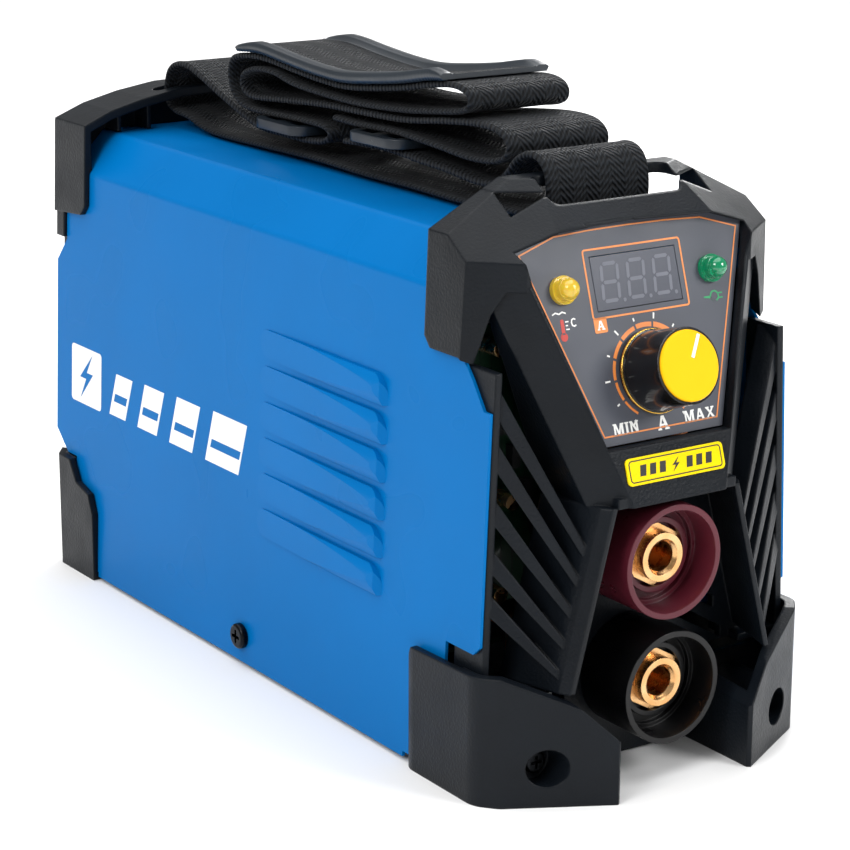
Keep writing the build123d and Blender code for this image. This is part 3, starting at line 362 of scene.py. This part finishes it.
def printed(name, loops, place, material):
    """Prints closed loops of points in millimetres."""
    bpy.ops.object.select_all(action="DESELECT")
    curve = bpy.data.curves.new(name, "CURVE")
    curve.dimensions = "2D"
    curve.fill_mode = "BOTH"
    curve.extrude = INK / MM
    for loop in loops:
        spline = curve.splines.new("POLY")
        spline.points.add(len(loop) - 1)
        for point, (x, y) in zip(spline.points, loop):
            point.co = (x, y, 0, 1)
        spline.use_cyclic_u = True
    piece = bpy.data.objects.new(name, curve)
    bpy.context.scene.collection.objects.link(piece)
    piece.select_set(True)
    bpy.context.view_layer.objects.active = piece
    bpy.ops.object.convert(target="MESH")
    piece = bpy.context.object
    return settle(piece, name, place @ Matrix.Diagonal((MM, MM, MM, 1)), material)


LETTERS = {
    "I": [[(0, 0), (4, 0), (4, 1.2), (3.1, 1.2), (3.1, 8.8), (4, 8.8), (4, 10), (0, 10), (0, 8.8),
           (0.9, 8.8), (0.9, 1.2), (0, 1.2)]],
    "N": [[(0, 0), (3.2, 0), (3.2, 1.2), (2.4, 1.2), (2.4, 6.8), (6.6, 0), (8.4, 0), (8.4, 8.8),
           (9.2, 8.8), (9.2, 10), (5.8, 10), (5.8, 8.8), (6.6, 8.8), (6.6, 3.6), (2.7, 10),
           (0, 10), (0, 8.8), (0.8, 8.8), (0.8, 1.2), (0, 1.2)]],
    "M": [[(0, 0), (3.2, 0), (3.2, 1.2), (2.5, 1.2), (2.5, 7.2), (4.7, 0), (6.3, 0), (8.2, 7.2),
           (8.2, 1.2), (7.5, 1.2), (7.5, 0), (11.2, 0), (11.2, 1.2), (10.4, 1.2), (10.4, 8.8),
           (11.2, 8.8), (11.2, 10), (7.6, 10), (5.6, 3.4), (3.4, 10), (0, 10), (0, 8.8),
           (0.8, 8.8), (0.8, 1.2), (0, 1.2)]],
    "A": [[(0, 0), (3.2, 0), (3.2, 1.2), (2.5, 1.2), (3.0, 2.9), (6.3, 2.9), (6.8, 1.2),
           (6.0, 1.2), (6.0, 0), (10, 0), (10, 1.2), (9.2, 1.2), (6.3, 10), (3.8, 10), (0.9, 1.2),
           (0, 1.2)], [(3.5, 4.3), (4.7, 7.8), (5.8, 4.3)]],
    "X": [[(0, 0), (3.4, 0), (3.4, 1.2), (2.8, 1.2), (4.8, 4.0), (6.5, 1.2), (5.8, 1.2), (5.8, 0),
           (10, 0), (10, 1.2), (9.2, 1.2), (6.2, 5.2), (8.7, 8.8), (9.5, 8.8), (9.5, 10),
           (6.2, 10), (6.2, 8.8), (6.8, 8.8), (5.2, 6.4), (3.5, 8.8), (4.2, 8.8), (4.2, 10),
           (0.4, 10), (0.4, 8.8), (1.1, 8.8), (4.0, 4.9), (1.0, 1.2), (0, 1.2)]],
}


def word_loops(text, x, y, height):
    """A word in slab capitals, with its middle at x, y."""
    scale = height / 10
    widths = [max(px for px, _ in LETTERS[letter][0]) for letter in text]
    pen = x - scale * (sum(widths) + 1.0 * (len(text) - 1)) / 2
    loops = []
    for letter, wide in zip(text, widths):
        for loop in LETTERS[letter]:
            loops.append([(pen + px * scale, y + (py - 5) * scale) for px, py in loop])
        pen += (wide + 1.0) * scale
    return loops


def band(points, width, closed=False):
    """Loops for a line of this width along the points."""
    count = len(points)
    left, right = [], []
    for i, (x, y) in enumerate(points):
        before = points[(i - 1) % count] if closed or i else points[0]
        after = points[(i + 1) % count] if closed or i < count - 1 else points[-1]
        first = Vector((x - before[0], y - before[1]))
        second = Vector((after[0] - x, after[1] - y))
        first = (first if first.length else second).normalized()
        second = (second if second.length else first).normalized()
        along = (first + second).normalized()
        side = Vector((-along.y, along.x)) * (width / 2 / max(along.dot(first), 0.4))
        left.append((x + side.x, y + side.y))
        right.append((x - side.x, y - side.y))
    return [left, right] if closed else [left + right[::-1]]


def box_loop(x, y, wide, high, corner=0.0):
    """A rectangle round a middle, with rounded corners."""
    steps = 5
    if not corner:
        return [(x - wide / 2, y - high / 2), (x + wide / 2, y - high / 2),
                (x + wide / 2, y + high / 2), (x - wide / 2, y + high / 2)]
    points = []
    for side, (sx, sy) in enumerate(((1, -1), (1, 1), (-1, 1), (-1, -1))):
        for step in range(steps + 1):
            angle = math.radians(-90 + 90 * side + 90 * step / steps)
            points.append((x + sx * (wide / 2 - corner) + corner * math.cos(angle),
                           y + sy * (high / 2 - corner) + corner * math.sin(angle)))
    return points


def disc(x, y, radius, steps=28):
    return [(x + radius * math.cos(2 * math.pi * i / steps),
             y + radius * math.sin(2 * math.pi * i / steps)) for i in range(steps)]


def arc(radius, start, end, steps):
    """Points on a circle round the dial, by the clock: 0 is up, degrees go clockwise."""
    turns = [math.radians(start + (end - start) * i / steps) for i in range(steps + 1)]
    return [(radius * math.sin(t), radius * math.cos(t)) for t in turns]


# %% [markdown]
# The inks. Ink takes on the grain of the film under it, and is a little uneven, which shows
# as a slow change of tone.

# %% Inks
def ink(name, dark, light, roughness=0.4):
    return moulded(name, dark, light, roughness, 0.8, 0.01, 0.0)


orange_ink = ink("screen_ink_orange", "#e0823c", "#e88c46")
white_ink = ink("screen_ink_white", "#e9e9e6", "#f4f4f2")
red_ink = ink("screen_ink_red", "#b8322a", "#c23a30")
green_ink = ink("screen_ink_green", "#1f8f57", "#279a60")
black_ink = ink("screen_ink_black", "#141414", "#1b1b1b")
grey_segment = ink("unlit_segment_grey", "#5d606b", "#636671")

# %% [markdown]
# The control label: a thin outline round its edge, a frame round the display with a small
# tab at its lower left, the dial's scale in segments that widen towards MAX, and ticks.

# %% Orange and white print on the control label
DIAL_START = -146
DIAL_STEP = 26.6
DISPLAY_Y = 27.6
EDGE = [(-20.9, -16.4), (20.9, -16.4), (40.0, 38.6), (27.0, 42.6), (14.0, 43.2), (0, 43.35),
        (-14.0, 43.2), (-27.0, 42.6), (-40.0, 38.6)]
orange = band(EDGE, 0.45, closed=True)
orange += band(box_loop(0, DISPLAY_Y, 35.6, 20.0, 0.8), 0.55, closed=True)
for index in range(11):
    start = DIAL_START + index * DIAL_STEP
    inner, outer = 13.2, 13.9 + index * 0.14
    orange.append(arc(inner, start, start + 23.5, 5) + arc(outer, start, start + 23.5, 5)[::-1])
printed("label_print_orange", orange, panel(FILM_TOP), orange_ink)
printed("label_tab_orange", [box_loop(-15.6, 15.6, 4.6, 4.4, 0.5)], panel(FILM_TOP), orange_ink)

white = []
for index in range(12):
    turn = DIAL_START + index * DIAL_STEP
    long = 17.4 if index % 2 == 0 else 16.6
    white.append(arc(15.6, turn - 0.9, turn + 0.9, 1) + arc(long, turn - 0.9, turn + 0.9, 1)[::-1])
printed("label_print_white", white, panel(FILM_TOP), white_ink)
words = word_loops("MIN", -12.8, -14.8, 3.5) + word_loops("A", 0.8, -15.2, 4.2)
words += word_loops("MAX", 14.6, -14.8, 3.5)
printed("label_words", words, panel(FILM_TOP), white_ink)
printed("label_tab_word", word_loops("A", -15.6, 15.6, 2.7), panel(OVER_INK), white_ink)
print("label print ready")

# %% Small signs for the two lamps
thermo = [(-29.6, 14.6), (-28.4, 14.6), (-28.4, 18.6), (-28.6, 19.0), (-29.4, 19.0),
          (-29.6, 18.6)]
printed("temperature_sign", [disc(-29.0, 13.9, 1.25, 18), thermo], panel(FILM_TOP), red_ink)
marks = [box_loop(-27.3, 18.2, 1.2, 0.35), box_loop(-27.5, 17.1, 0.8, 0.35),
         box_loop(-27.3, 16.0, 1.2, 0.35)]
marks += band([(-32.0, 20.6), (-30.8, 21.1), (-29.6, 20.6), (-28.4, 21.1), (-27.2, 20.6)], 0.4)
marks += band([(-24.2, 18.5), (-24.8, 18.8), (-25.5, 18.5), (-25.7, 17.7), (-25.5, 16.9),
               (-24.8, 16.6), (-24.2, 16.9)], 0.4)
printed("temperature_marks", marks, panel(FILM_TOP), white_ink)
plug = band(disc(27.6, 18.9, 1.5, 18), 0.45, closed=True)
plug += [box_loop(24.9, 18.9, 2.6, 0.45), box_loop(29.9, 19.6, 1.5, 0.4),
         box_loop(29.9, 18.2, 1.5, 0.4)]
printed("power_sign", plug, panel(FILM_TOP), green_ink)


# %% [markdown]
# The display shows three seven-segment digits that are off, so their segments are only a
# little lighter than the window. A digit is seven six-sided bars and a dot.

# %% Unlit digits
def segment(x, y, long, thick, upright):
    half, tip = long / 2, thick / 2
    points = [(-half, 0), (-half + tip, tip), (half - tip, tip), (half, 0), (half - tip, -tip),
              (-half + tip, -tip)]
    if upright:
        points = [(b, a) for a, b in points][::-1]
    lean = 0.09
    return [(x + a + lean * (y + b - DISPLAY_Y), y + b) for a, b in points]


digits = []
for middle in (-9.6, 0.0, 9.6):
    for level in (-5.4, 0.0, 5.4):
        digits.append(segment(middle, DISPLAY_Y + level, 5.0, 1.1, False))
    for side in (-2.9, 2.9):
        for level in (-2.7, 2.7):
            digits.append(segment(middle + side, DISPLAY_Y + level, 4.9, 1.1, True))
    digits.append(disc(middle + 4.2, 21.9, 0.6, 12))
printed("display_digits", digits, panel(WINDOW_TOP), grey_segment)

# %% [markdown]
# The yellow plate carries a plain black rule and a lightning bolt between two groups of
# three bars, as a neutral sign for electric equipment. The cover's sides carry a white bolt
# badge and slanted stripes, printed on the paint and following the wall's slight lean.

# %% Yellow plate and side graphics
PLATE_Y = -27.5
bolt = [(1.6, 3.0), (-1.7, -0.3), (-0.1, -0.3), (-1.6, -3.0), (1.7, 0.5), (0.1, 0.5)]
plate_print = band(box_loop(0, PLATE_Y, 33.8, 6.2, 1.0), 0.35, closed=True)
plate_print.append([(x * 0.85, y * 0.7 + PLATE_Y) for x, y in bolt])
for side in (1, -1):
    for index in range(3):
        middle = side * (5.0 + index * 3.6)
        plate_print.append([(middle - 1.3, -29.1), (middle + 0.9, -29.1), (middle + 1.5, -25.9),
                            (middle - 0.7, -25.9)])
printed("yellow_plate_print", plate_print, panel(PLATE_TOP), black_ink)

SPLAY = 0.041


def side_wall(side):
    """Flat frame on a side wall: x from left to right as seen, y up, from z 74 mm."""
    height = 74.0
    x = 55.7 + SPLAY * (100 - height) + 0.03
    rear_first = -1 if side < 0 else 1
    origin = Vector((side * x, 71.6, height)) * MM
    return surface_frame(origin, (0, rear_first, 0), (side, 0, SPLAY))


# Positions on the side graphics, in millimetres: a stripe leans forward by this much.
lean = 5.0
badge = [box_loop(-51.0, 0, 23.0, 21.0, 1.5), [(x * 3.0 - 51.0, y * 3.0) for x, y in bolt]]
stripes = []
for index, (start, end) in enumerate(((-33, -17), (-12, 6), (11, 31), (36, 62))):
    low, high = -9.5, 6.0 + index * 0.8
    stripes.append([(start, low), (end - 4, low), (end - 4 + lean, high), (start + lean, high)])
    stripes.append([(start + 1.4 + lean * 0.35, low + 5.2), (end - 5.4 + lean * 0.35, low + 5.2),
                    (end - 5.4 + lean * 0.55, low + 8.2), (start + 1.4 + lean * 0.55, low + 8.2)])
for side, name in ((-1, "left"), (1, "right")):
    printed(f"cover_graphic_{name}", badge + stripes, side_wall(side), white_ink)
print("graphics ready")

# %% [markdown]
# A thin gold ring is hot-stamped round the foot of the dial. A torus is the natural start,
# flattened a little against the skirt, and it turns with the knob.

# %% Gold ring on the dial
bpy.ops.object.select_all(action="DESELECT")
bpy.ops.mesh.primitive_torus_add(major_radius=0.01232, minor_radius=0.00028,
                                 major_segments=96, minor_segments=10)
ring = bpy.context.object
bpy.ops.object.mode_set(mode="EDIT")
bpy.ops.mesh.select_all(action="SELECT")
bpy.ops.transform.resize(value=(1, 1, 1.8))
bpy.ops.object.mode_set(mode="OBJECT")
bpy.ops.object.shade_smooth()
gold = metal("hot_stamped_gold", "#c79a3e", "#dcb25a", 0.22, None, 2.0, 0.01, 0.0)
settle(ring, "knob_gold_ring", panel(1.7), gold, "knob")


# %% [markdown]
# The strap is polypropylene webbing, 38 mm wide. It is one ribbon: from its tail at the
# front buckle it goes round the front bar, back under the pile, round the rear bar, and
# then zigzags up. The route is the line of its middle, in millimetres of depth behind the
# cover's front edge and of height. A cross-section swept along it gives the ribbon, with
# edges that are thicker where the weft turns back, and a UV map in real lengths, so that the
# weave follows the cloth.

# %% The strap's route
STRAP_ROUTE = [
    (134.0, 172.3), (122.0, 173.1), (113.0, 173.4), (104.0, 173.2), (90.0, 172.3), (76.0, 171.7),
    (58.4, 170.4), (49.0, 171.8), (44.0, 175.6), (39.6, 180.0), (34.0, 182.6), (28.6, 182.0),
    (25.0, 178.8), (23.6, 173.0), (24.4, 167.6), (30.0, 165.2), (40.0, 164.4), (67.0, 163.3),
    (94.0, 163.6), (123.0, 163.4), (153.0, 163.9), (185.0, 163.4), (214.0, 163.0), (227.0, 163.9),
    (238.0, 166.3), (247.0, 167.2), (252.6, 169.6), (253.6, 175.2), (251.4, 180.8), (246.0, 184.0),
    (238.0, 184.4), (229.0, 182.0), (219.0, 178.6), (209.0, 175.4), (199.0, 172.4), (187.0, 169.5),
    (172.0, 169.2), (157.0, 169.2), (147.0, 170.4), (143.0, 172.8), (147.0, 175.3), (163.0, 175.5),
    (184.0, 175.0), (198.0, 175.6), (205.0, 179.0), (207.6, 185.0), (205.6, 190.6), (198.0, 192.6),
    (184.0, 193.2), (163.0, 191.4), (146.0, 190.2), (130.0, 190.2), (103.0, 193.4), (85.0, 196.6),
    (73.0, 198.0), (65.5, 196.8), (63.4, 193.8), (67.5, 190.9), (84.0, 188.6), (103.0, 186.7),
    (130.0, 185.6), (163.0, 186.8), (178.0, 189.2), (190.0, 189.0), (198.4, 186.2), (199.0, 181.8),
    (192.6, 179.4), (178.0, 180.2), (163.0, 181.4), (142.0, 182.6), (103.0, 183.6), (78.0, 186.4),
    (60.0, 188.0), (49.0, 187.4), (43.8, 184.4), (44.6, 180.4), (51.0, 178.0), (64.0, 177.2),
    (82.0, 178.4), (103.0, 179.4), (125.0, 178.9), (140.0, 179.1),
]
WEBBING = 38.0
COVER_FRONT = -125.0


def curve_through(route, steps):
    """Points on a smooth curve through a route."""
    ends = [route[0], *route, route[-1]]
    points = []
    for i in range(len(route) - 1):
        p0, p1, p2, p3 = (Vector(p) for p in ends[i:i + 4])
        for step in range(steps):
            t = step / steps
            points.append(p1 + (p2 - p0) / 2 * t + (p0 * 2 - p1 * 5 + p2 * 4 - p3) / 2 * t * t
                          + (p1 * 3 - p0 - p2 * 3 + p3) / 2 * t ** 3)
    return points + [Vector(route[-1])]


def swept(name, points, section, material):
    """Sweeps a closed section, (across, out) in millimetres, along points of depth, height."""
    mesh = bpy.data.meshes.new(name)
    shape = bmesh.new()
    uv = shape.loops.layers.uv.new("weave")
    rings, lengths = [], [0.0]
    for i, here in enumerate(points):
        before, after = points[max(i - 1, 0)], points[min(i + 1, len(points) - 1)]
        along = (after - before).normalized()
        if i:
            lengths.append(lengths[-1] + (here - points[i - 1]).length)
        row = []
        for x, out in section(i / (len(points) - 1)) if callable(section) else section:
            where = Vector((x, COVER_FRONT + here.x - along.y * out, here.y + along.x * out))
            row.append(shape.verts.new(where * MM))
        rings.append(row)
    count = len(rings[0])
    profile = section(0.5) if callable(section) else section
    for i in range(len(rings) - 1):
        for k in range(count):
            n = (k + 1) % count
            face = shape.faces.new((rings[i][k], rings[i][n], rings[i + 1][n], rings[i + 1][k]))
            face.smooth = True
            across = (profile[k][0], profile[n][0], profile[n][0], profile[k][0])
            along_v = (lengths[i], lengths[i], lengths[i + 1], lengths[i + 1])
            for loop, u, v in zip(face.loops, across, along_v):
                loop[uv].uv = (u * MM, v * MM)
    shape.faces.new(rings[0][::-1])
    shape.faces.new(rings[-1])
    bmesh.ops.recalc_face_normals(shape, faces=shape.faces)
    shape.to_mesh(mesh)
    shape.free()
    piece = bpy.data.objects.new(name, mesh)
    bpy.context.scene.collection.objects.link(piece)
    settle(piece, name, Matrix.Identity(4), material)
    return piece, lengths[-1]


# %% [markdown]
# Herringbone webbing: slanted ribs that turn back every 4.75 mm across the width, giving
# eight columns. Ribs on such webbing are typically about 1.3 mm apart, drawn at 1.9 mm so
# that they show. Each weft row, 2.7 mm apart, lifts them a little, and single threads are a
# finer ripple.

# %% Webbing material
RIB_COLUMN = 0.00475
RIB_PITCH = 0.0019
THREAD_PITCH = 0.0012
ROW_PITCH = 0.0027


def ripple(tree, distance, pitch):
    """A sine wave that repeats every pitch, in metres of cloth."""
    turns = add(tree, "ShaderNodeMath", [(0, distance), (1, 2 * math.pi / pitch)],
                operation="MULTIPLY").outputs[0]
    return add(tree, "ShaderNodeMath", [(0, turns)], operation="SINE").outputs[0]


def webbing_finish(name, dark, light):
    material, tree, shader = finish(name, dark, 0.7, sheen_weight=0.03, sheen_roughness=0.4,
                                    specular_ior_level=0.16)
    along = add(tree, "ShaderNodeSeparateXYZ",
                [("Vector", add(tree, "ShaderNodeTexCoord").outputs["UV"])])
    across = add(tree, "ShaderNodeMath", [(0, along.outputs["X"]), (1, RIB_COLUMN)],
                 operation="PINGPONG").outputs[0]
    slant = add(tree, "ShaderNodeMath", [(0, across), (1, 1.0), (2, along.outputs["Y"])],
                operation="MULTIPLY_ADD").outputs[0]
    ribs = ripple(tree, slant, RIB_PITCH)
    threads = ripple(tree, along.outputs["X"], THREAD_PITCH)
    weave = add(tree, "ShaderNodeMath", [(0, threads), (1, 0.35), (2, ribs)],
                operation="MULTIPLY_ADD").outputs[0]
    rows = ripple(tree, along.outputs["Y"], ROW_PITCH)
    weave = add(tree, "ShaderNodeMath", [(0, rows), (1, 0.5), (2, weave)],
                operation="MULTIPLY_ADD").outputs[0]
    weave = spread(tree, weave, 0.0, 1.0, -1.6, 1.6)
    tree.links.new(ramp(tree, weave, [(0.15, dark), (0.9, light)]), shader.inputs["Base Color"])
    tree.links.new(spread(tree, grain(tree, 3.0, 3), 0.64, 0.8), shader.inputs["Roughness"])
    bump(tree, shader, weave, 0.8)
    return material


webbing = webbing_finish("polypropylene_webbing_black", "#0a0b0d", "#202429")


def webbing_section():
    """A flat section with beaded edges, across and out of the cloth."""
    half, thin, bead = WEBBING / 2, 0.8, 1.0
    top = [(-half + 3.2, thin), (-half + 6, thin)]
    top += [(x, thin) for x in (-9, -5, 0, 5, 9)] + [(half - 6, thin), (half - 3.2, thin)]
    right = [(half - 1.3, bead), (half - 0.5, bead * 0.8), (half, 0), (half - 0.5, -bead * 0.8),
             (half - 1.3, -bead)]
    under = [(x, -y) for x, y in reversed(top)]
    left = [(-x, -y) for x, y in right]
    return top + right + under + left


strap, strap_length = swept("woven_strap", curve_through(STRAP_ROUTE, 6), webbing_section(),
                            webbing)
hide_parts("carry_strap")
print(f"strap: {strap_length:.0f} mm of webbing")

# %% [markdown]
# The shoulder pad is a soft moulded strip threaded on the top layer. It has a raised rail
# along each side and a woven inlay between them, and its underside is finely notched.

# %% Moulded shoulder pad
PAD_ROUTE = [(200.0, 195.2), (184.0, 195.9), (163.0, 194.0), (146.0, 192.8), (130.0, 192.8),
             (103.0, 196.0), (85.0, 199.2), (76.0, 200.3)]
pad_rubber = moulded("moulded_elastomer_slate", "#1c232a", "#232b33", 0.36, 0.7, 0.04, 0.0)


def pad_section(place):
    """Tall rails at the sides, lower at the ends, and a woven inlay between them."""
    half = WEBBING / 2 + 1.5
    rail = 0.9 + 1.7 * min(1.0, min(place, 1 - place) * 9)
    ripple = 0.12 * math.cos(place * 2 * math.pi * 60)
    upper = [(-half, 0.2), (-half + 0.2, rail - 0.5), (-half + 1.0, rail), (-half + 3.8, rail),
             (-half + 4.7, rail - 0.5), (-half + 5.2, 0.7), (-half + 6.0, 0.5), (-half + 11, 0.5),
             (0, 0.5)]
    upper += [(-x, y) for x, y in reversed(upper[:-1])]
    return upper + [(half - 0.7, -1.1 + ripple), (-half + 0.7, -1.1 + ripple)]


pad, pad_length = swept("moulded_shoulder_pad", curve_through(PAD_ROUTE[::-1], 40), pad_section,
                        pad_rubber)
pad.data.materials.append(webbing)
for face in pad.data.polygons:
    corners = [pad.data.vertices[v].co.x for v in face.vertices]
    if face.area < 1e-4 and max(abs(x) for x in corners) < 0.0150 and face.normal.z > 0.3:
        face.material_index = 1
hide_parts("shoulder_pad")
print(f"pad: {pad_length:.0f} mm")


# %% [markdown]
# Two tri-glide buckles set the strap's length. Each is a moulded frame with a middle bar and
# rounded ends. A cube is stretched, its corners are rounded, two windows are cut, and a last
# bevel softens every edge.

# %% Buckles
buckle_plastic = moulded("moulded_acetal_slate", "#181f26", "#1e262e", 0.32, 1.5, 0.02, 0.0,
                         specular_ior_level=0.4)


def buckle(name, node, tilt):
    low, high = (Vector(v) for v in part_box(node))
    middle = (low + high) / 2
    size = high - low
    bpy.ops.object.select_all(action="DESELECT")
    bpy.ops.mesh.primitive_cube_add(size=1, location=(0, 0, 0))
    frame_piece = bpy.context.object
    frame_piece.data.transform(Matrix.Diagonal((size.x, size.y, size.z * 1.05, 1)))
    bpy.ops.object.mode_set(mode="EDIT")
    bpy.ops.mesh.select_mode(type="EDGE")
    bpy.ops.mesh.select_all(action="DESELECT")
    bpy.ops.object.mode_set(mode="OBJECT")
    for edge in frame_piece.data.edges:
        a, b = (frame_piece.data.vertices[v].co for v in edge.vertices)
        edge.select = abs(a.z - b.z) > size.z / 2
    bpy.ops.object.mode_set(mode="EDIT")
    bpy.ops.mesh.bevel(offset=0.006, segments=8, affect="EDGES")
    bpy.ops.object.mode_set(mode="OBJECT")
    cutters = []
    for way in (1, -1):
        bpy.ops.object.select_all(action="DESELECT")
        bpy.ops.mesh.primitive_cube_add(size=1, location=(0, 0, 0))
        cutter = bpy.context.object
        cutter.data.transform(Matrix.Translation((0, way * 0.0070, 0))
                              @ Matrix.Diagonal((size.x - 0.0072, 0.0080, 0.02, 1)))
        cutters.append(cutter)
        hole = frame_piece.modifiers.new("window", "BOOLEAN")
        hole.object = cutter
        hole.solver = "EXACT"
    soft = frame_piece.modifiers.new("soft_edges", "BEVEL")
    soft.width = 0.0011
    soft.segments = 4
    soft.limit_method = "ANGLE"
    bpy.ops.object.select_all(action="DESELECT")
    frame_piece.select_set(True)
    bpy.context.view_layer.objects.active = frame_piece
    for modifier in list(frame_piece.modifiers):
        bpy.ops.object.modifier_apply(modifier=modifier.name)
    for cutter in cutters:
        bpy.data.objects.remove(cutter)
    bpy.ops.object.shade_smooth_by_angle(angle=math.radians(40))
    place = Matrix.Translation(middle) @ Matrix.Rotation(math.radians(tilt), 4, "X")
    settle(frame_piece, name, place, buckle_plastic)
    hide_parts(node)


buckle("front_triglide", "front_slider", -1)
buckle("rear_triglide", "rear_slider", 0)
print("buckles ready")


# %% [markdown]
# The studio: a pale floor far wider than the picture, an even sky, three soft lamps and a
# wide glow from above that lights the whole floor evenly. A large lamp gives the broad soft
# highlights that show the shape of black plastic.

# %% Floor and light
bpy.ops.object.select_all(action="DESELECT")
bpy.ops.mesh.primitive_plane_add(size=30, location=(0, 0, 0))
floor = bpy.context.object
floor.name = "studio_floor"
paper, tree, shader = finish("studio_paper", "#f2f2f2", 0.8, specular_ior_level=0.2)
floor.data.materials.append(paper)

world = bpy.data.worlds.new("studio_sky")
bpy.context.scene.world = world
world.use_nodes = True
world.node_tree.nodes["Background"].inputs["Color"].default_value = (1, 1, 1, 1)
world.node_tree.nodes["Background"].inputs["Strength"].default_value = 0.3


def lamp(name, place, aim, size, power):
    bpy.ops.object.select_all(action="DESELECT")
    bpy.ops.object.light_add(type="AREA", location=place)
    light = bpy.context.object
    light.name = name
    light.data.shape = "RECTANGLE"
    light.data.size, light.data.size_y = size
    light.data.energy = power
    light.rotation_euler = (Vector(aim) - Vector(place)).to_track_quat("-Z", "Y").to_euler()


lamp("key_softbox", (-1.3, -0.5, 1.1), (0, 0, 0.1), (0.6, 0.6), 13)
lamp("front_softbox", (0.65, -1.2, 0.85), (0, 0, 0.12), (0.5, 0.5), 12)
lamp("rim_softbox", (1.1, 0.8, 0.8), (0, 0, 0.1), (0.4, 0.8), 12)
bpy.ops.object.select_all(action="DESELECT")
bpy.ops.object.light_add(type="SUN", location=(0, 0, 2), rotation=(math.radians(-12), 0, 0))
ceiling = bpy.context.object
ceiling.name = "ceiling_glow"
ceiling.data.energy = 2.7
ceiling.data.angle = math.radians(75)

# %% [markdown]
# The camera stands well back with a long lens, a little above the machine and off its left
# front corner, where a catalogue picture is usually taken from. The plain display transform
# keeps paint and printed colours as saturated as their hex values.

# %% Camera
AIM = Vector((0.5400, 0.7967, -0.2716)).normalized()
RIGHT = Vector((0.8278, -0.5611, 0.0)).normalized()
CAMERA_PLACE = (-0.4695, -0.7039, 0.3148)
ROLL = math.radians(0.22)
camera_data = bpy.data.cameras.new("catalogue_camera")
camera_data.lens = 111.2
camera_data.sensor_width = 36.0
camera = bpy.data.objects.new("catalogue_camera", camera_data)
bpy.context.scene.collection.objects.link(camera)
turn = Matrix((RIGHT, RIGHT.cross(AIM), -AIM)).transposed().to_4x4()
turn = turn @ Matrix.Rotation(ROLL, 4, "Z")
camera.matrix_world = Matrix.Translation(CAMERA_PLACE) @ turn
bpy.context.scene.camera = camera
bpy.context.scene.view_settings.view_transform = "Standard"
